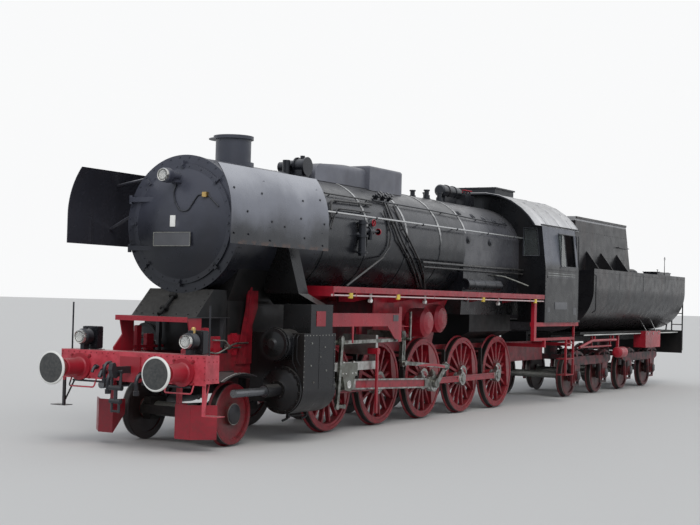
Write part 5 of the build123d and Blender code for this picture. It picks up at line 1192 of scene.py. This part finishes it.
def rod_details():
    """Oil cup lids, pin caps and wedge bolts that move with the rods and crossheads."""
    for way, name in named_sides("left", "right"):
        pin, swing = joints[f"side_rod_{name}_pin"], joints[f"main_rod_{name}_swing"]
        middle = Vector((pin.x, way * side_rod_y, pin.z))
        form = Form(way)
        for x in coupled_axles:
            form.turn([(-0.01, 0.03), (0.012, 0.03), (0.016, 0.022), (0.028, 0.02), (0.03, 0.0)],
                      form.moved(middle, x, 0, 0.17), up, 16)
            if x:
                form.turn([(-0.002, 0.05), (0.006, 0.05), (0.01, 0.036)], form.moved(middle, x, 0.045, 0), out)
            for dz in (-0.085, 0.085):
                form.bolt(form.moved(middle, x, 0.045, dz), out, 0.014)
        for x in (-2.475, -0.825, 0.825, 2.475):
            for dx in (-0.35, 0.35):
                form.rivet(form.moved(middle, x + dx, 0.025, 0.046), out, 0.007)
        form.finish(f"side_rod_fittings_{name}", bright, "rod_steel", f"side_rod_{name}")

        big = Vector((pin.x, swing.y, pin.z))
        along = (big - swing).normalized()
        upward = Vector((-along.z, 0, along.x))
        form = Form(way)
        form.box(big - Vector((0.05, 0.045, -0.12)), big + Vector((0.05, 0.045, 0.2)), 0.008)
        form.turn([(0.0, 0.032), (0.014, 0.032), (0.018, 0.022), (0.034, 0.02), (0.036, 0.0)],
                  form.moved(big, 0, 0, 0.2), up, 16)
        for distance in (-0.23, 0.12):
            for offset in (-0.085, 0.085):
                form.bolt(form.moved(big + along * distance + upward * offset, 0, 0.035, 0), out, 0.016)
        form.finish(f"main_rod_fittings_{name}", steel, "rod_steel", f"main_rod_{name}")

        form = Form(way)
        for x in (-0.2, -0.1, 0.1, 0.2):
            form.turn([(-0.002, 0.015), (0.006, 0.015), (0.007, 0.01), (0.007, 0.0)],
                      form.moved(swing, x, 0.1, 0.17), out, 6)
        form.turn([(-0.004, 0.062), (0.004, 0.062), (0.007, 0.055), (0.004, 0.05), (0.004, 0.02), (0.008, 0.016),
                   (0.008, 0.0)], form.moved(swing, 0, 0.1, 0), out, 28)
        for x in (-0.16, 0.16):
            form.turn([(0.0, 0.02), (0.02, 0.02), (0.026, 0.012), (0.028, 0.0)],
                      form.moved(swing, x, 0.082, 0.335), up, 12)
        form.finish(f"crosshead_fittings_{name}", bright, "rod_steel", f"crosshead_{name}")


def wheel_details():
    """Rivets and hub caps of the coupled wheels, and covers on the leading wheels."""
    for index, x in enumerate(coupled_axles, start=1):
        form = Form()
        for _ in form.sides():
            form.turn([(-0.002, 0.12), (0.008, 0.115), (0.012, 0.07), (0.004, 0.06), (0.004, 0.0)],
                      (x, 0.835, wheel_radius), out, 28)
            form.ring(form.rivet, (x, 0.81, wheel_radius), 0.617, 12, out, 0.009, "xz", 0.2)
        form.finish(f"wheel_caps_{index}", red, "wheel_red", f"coupled_wheelset_{index}")
    form = Form()
    for _ in form.sides():
        form.turn([(-0.006, 0.14), (0.008, 0.14), (0.02, 0.1), (0.024, 0.0)],
                  (leading_axle, 0.835, leading_radius), out, 28)
        form.ring(form.bolt, (leading_axle, 0.842, leading_radius), 0.118, 6, out, 0.011, "xz")
    form.finish("leading_hub_caps", black, "wheel_red", "leading_wheelset")


def cab_details():
    """Window frames and panes, rails, rivets, roof ribs and bare plates."""
    panes, frames = Form(), Form()
    lean = (cab_half_width - cab_eaves_half_width) / (cab_eaves_z - cab_sill_z)

    def side(x, z, beyond=0.0):
        """A point of the cab's side, which leans inwards above the sill."""
        return x, cab_half_width - max(0.0, z - cab_sill_z) * lean + beyond, z

    front_x, middle_x, rear_x, low_z, high_z = 4.98, 5.36, 5.85, 2.85, 3.54
    for way in (near, far):
        panes.way = frames.way = way
        corners = ((front_x, low_z), (rear_x, low_z), (rear_x, high_z), (front_x, high_z), (front_x, low_z))
        frames.rods([side(x, z, 0.004) for x, z in corners], 0.012)
        corners = ((front_x + 0.01, low_z), (middle_x, low_z), (middle_x, high_z), (front_x + 0.01, high_z))
        panes.sheet([side(x, z, -0.02) for x, z in corners])
        for z in (low_z, high_z):
            frames.rod(side(front_x, z, -0.017), side(middle_x, z, -0.017), 0.01, 8)
        frames.rod(side(middle_x, low_z, -0.017), side(middle_x, high_z, -0.017), 0.014, 8)
        # the draught screen stands out from the window's front edge, almost to the part's full width
        x, foot_z, top_z, edge_y = front_x - 0.02, low_z + 0.05, high_z - 0.03, cab_half_width - 0.005
        screen = [side(x, foot_z), (x, edge_y, foot_z), (x, edge_y, top_z), side(x, top_z)]
        panes.sheet(screen)
        frames.rods(screen, 0.007)
        # front window
        corners = ((1.0, 3.04), (1.36, 3.04), (1.3, 3.61), (1.0, 3.61), (1.0, 3.04))
        frames.rods([(cab_front_x - 0.004, y, z) for y, z in corners], 0.012)
        corners = ((1.005, 3.045), (1.35, 3.045), (1.295, 3.605), (1.005, 3.605))
        panes.sheet([(cab_front_x + 0.02, y, z) for y, z in corners])
    frames.finish("cab_window_frames", black)
    panes.finish("cab_panes", pane, "lamp_glass")

    form = Form()
    y = cab_half_width
    for _ in form.sides():
        # x and z of both ends of each row, and its number of rivets
        for x, z, end_x, end_z, count in ((4.11, 1.75, 4.11, 2.75, 14), (4.18, 2.77, 5.9, 2.77, 24),
                                          (4.18, 1.72, 5.9, 1.72, 24)):
            form.row(form.rivet, (x, y, z), (end_x, y, end_z), count, out, 0.009)
        form.box((4.9, 1.44, 2.81), (5.95, 1.506, 2.84), 0.004)
        form.box((4.2, 1.4995, 2.6), (5.8, 1.508, 2.635), 0.002)
        # grab rails at the cab's door
        for x in (6.02, 6.16):
            form.tube([(x, 1.42, 3.55), (x, 1.44, 3.5), (x, 1.44, 1.8), (x, 1.42, 1.74)], 0.012, 0.03)
    form.finish("cab_rails", black)

    form = Form()
    across = [1.395 * math.sin(math.pi * (0.5 - step / 14)) for step in range(15)]
    for x in (3.72, 4.4, 5.15, 5.9, 6.24):
        form.tube([(x, y, roof_height(abs(y)) + 0.003) for y in across], 0.011)
    for y in (-0.3, 0.0, 0.3):
        form.box((4.02, y - 0.012, cab_crown_z + 0.14), (4.86, y + 0.012, cab_crown_z + 0.152), 0.003)
    form.finish("roof_ribs", roof_black)

    form = Form()
    for _ in form.sides():
        for z in (2.7, 2.655):
            form.box((4.2, seated_y, z - 0.006), (5.8, 1.509, z + 0.006), 0.001)
    form.finish("sill_rails", steel, "rod_steel")
    form = Form()
    for _ in form.sides():
        form.box((4.62, 1.499, 1.96), (5.34, 1.506, 2.11), 0.003)
        form.box((4.2, 1.499, 1.9), (4.36, 1.504, 2.0), 0.002)
        form.box((5.72, 1.499, 1.85), (5.9, 1.504, 2.0), 0.002)
    form.finish("cab_plates", plate_grey)


def tender_details():
    """Sill strips, rivets, rails, stays, gauge ring, latches, rear lamps and axle box covers."""
    form = Form()
    for _ in form.sides():
        form.box((7.02, 1.284, 1.385), (14.5, 1.297, 1.402), 0.002)
    form.finish("sill_lines", white, body="tender")
    form = Form()
    y = tub_half_width
    for _ in form.sides():
        for x in (9.0, 10.85, 12.7):
            form.box((x - 0.02, y - 0.0015, 2.44), (x + 0.02, y + 0.0035, 2.845), 0.001)
        form.row(form.rivet, (7.25, y, 2.8), (14.48, y, 2.8), 74, out, 0.008)
        form.tube([(7.2, y, 2.75), (7.2, 1.485, 2.73), (7.2, 1.485, 1.95), (7.2, 1.4, 1.9)], 0.012, 0.03)
        for z in (3.2, 3.75):
            form.row(form.rivet, (7.5, 0.9, z), (11.0, 0.9, z), 30, out, 0.009)
        form.box((7.4, 0.895, 4.03), (11.02, 0.925, 4.08), 0.005)
    form.row(form.rivet, (14.55, -1.3, 2.78), (14.55, 1.3, 2.78), 27, rearwards, 0.009)
    form.finish("tender_rivets", tub_black, body="tender")

    form = Form(near)
    # the stays reach up to the tub's rounded underside
    turn_radius, tub_base = 1.0, 1.45
    for top_x, foot_x, top_z in ((11.64, 11.34, 1.722), (12.38, 12.127, 1.75)):
        drop = tub_base + turn_radius - top_z
        top_y = tub_half_width - turn_radius + math.sqrt(turn_radius ** 2 - drop ** 2)
        form.rod((top_x, top_y - 0.01, top_z), (foot_x, 1.385, 1.457), 0.013, 10)
    form.finish("tool_box_stays", bright, "rod_steel", "tender")
    form = Form()
    x, y, z, radius = 13.344, -1.23, 3.34, 0.04
    form.rod((x, y, 3.14), (x, y, 3.3), 0.008, 8)
    angles = [math.radians(step * 30) for step in range(13)]
    form.tube([(x + radius * math.cos(angle), y, z + radius * math.sin(angle)) for angle in angles], 0.007, sides=8)
    form.finish("gauge_ring", black, body="tender")
    form = Form(near)
    for x in (11.35, 11.8, 12.28):
        form.box((x - 0.03, 1.414, 1.36), (x + 0.03, 1.428, 1.42), 0.003)
    for x in (11.5, 12.12):
        form.box((x - 0.04, 1.4, 1.43), (x + 0.04, 1.428, 1.456), 0.003)
    form.finish("tool_box_latches", steel, body="tender")
    for way, name in named_sides():
        place = at(14.65, way * 0.95, 1.75)
        form = Form()
        form.turn([(-0.09, 0.09), (0.0, 0.1), (0.05, 0.1), (0.06, 0.085)], place, rearwards, 28)
        form.rod(place + Vector((-0.02, 0, -0.09)), place + Vector((-0.1, 0, -0.3)), 0.02)
        form.finish(f"rear_lamp_{name}", black, body="tender")
        form = Form()
        form.turn([(0.055, 0.086), (0.066, 0.07), (0.078, 0.04), (0.082, 0.0)], place, rearwards, 28)
        form.finish(f"rear_lens_{name}", lens, "lamp_glass", "tender")
    for bogie, axles in (("bogie_1", tender_axles[:2]), ("bogie_2", tender_axles[2:])):
        form = Form()
        for _ in form.sides():
            for x in axles:
                form.turn([(-0.004, 0.1), (0.014, 0.1), (0.022, 0.075), (0.024, 0.0)],
                          (x, 1.05, tender_wheel_radius), out)
                form.ring(form.bolt, (x, 1.062, tender_wheel_radius), 0.085, 4, out, 0.012, "xz", math.pi / 4)
                # the spring's leaves
                for leaf in range(5):
                    z, half = 0.93 + leaf * 0.016, 0.42 - leaf * 0.06
                    form.box((x - half, 0.917, z), (x + half, 1.003, z + 0.004), 0.001)
        form.finish(f"{bogie}_axle_boxes", black, body=bogie)


dress_nodes()
smokebox_details()
front_end_details()
frame_details()
cylinder_details()
running_board_details()
boiler_details()
boiler_side_details()
deflector_details()
rod_details()
wheel_details()
cab_details()
tender_details()
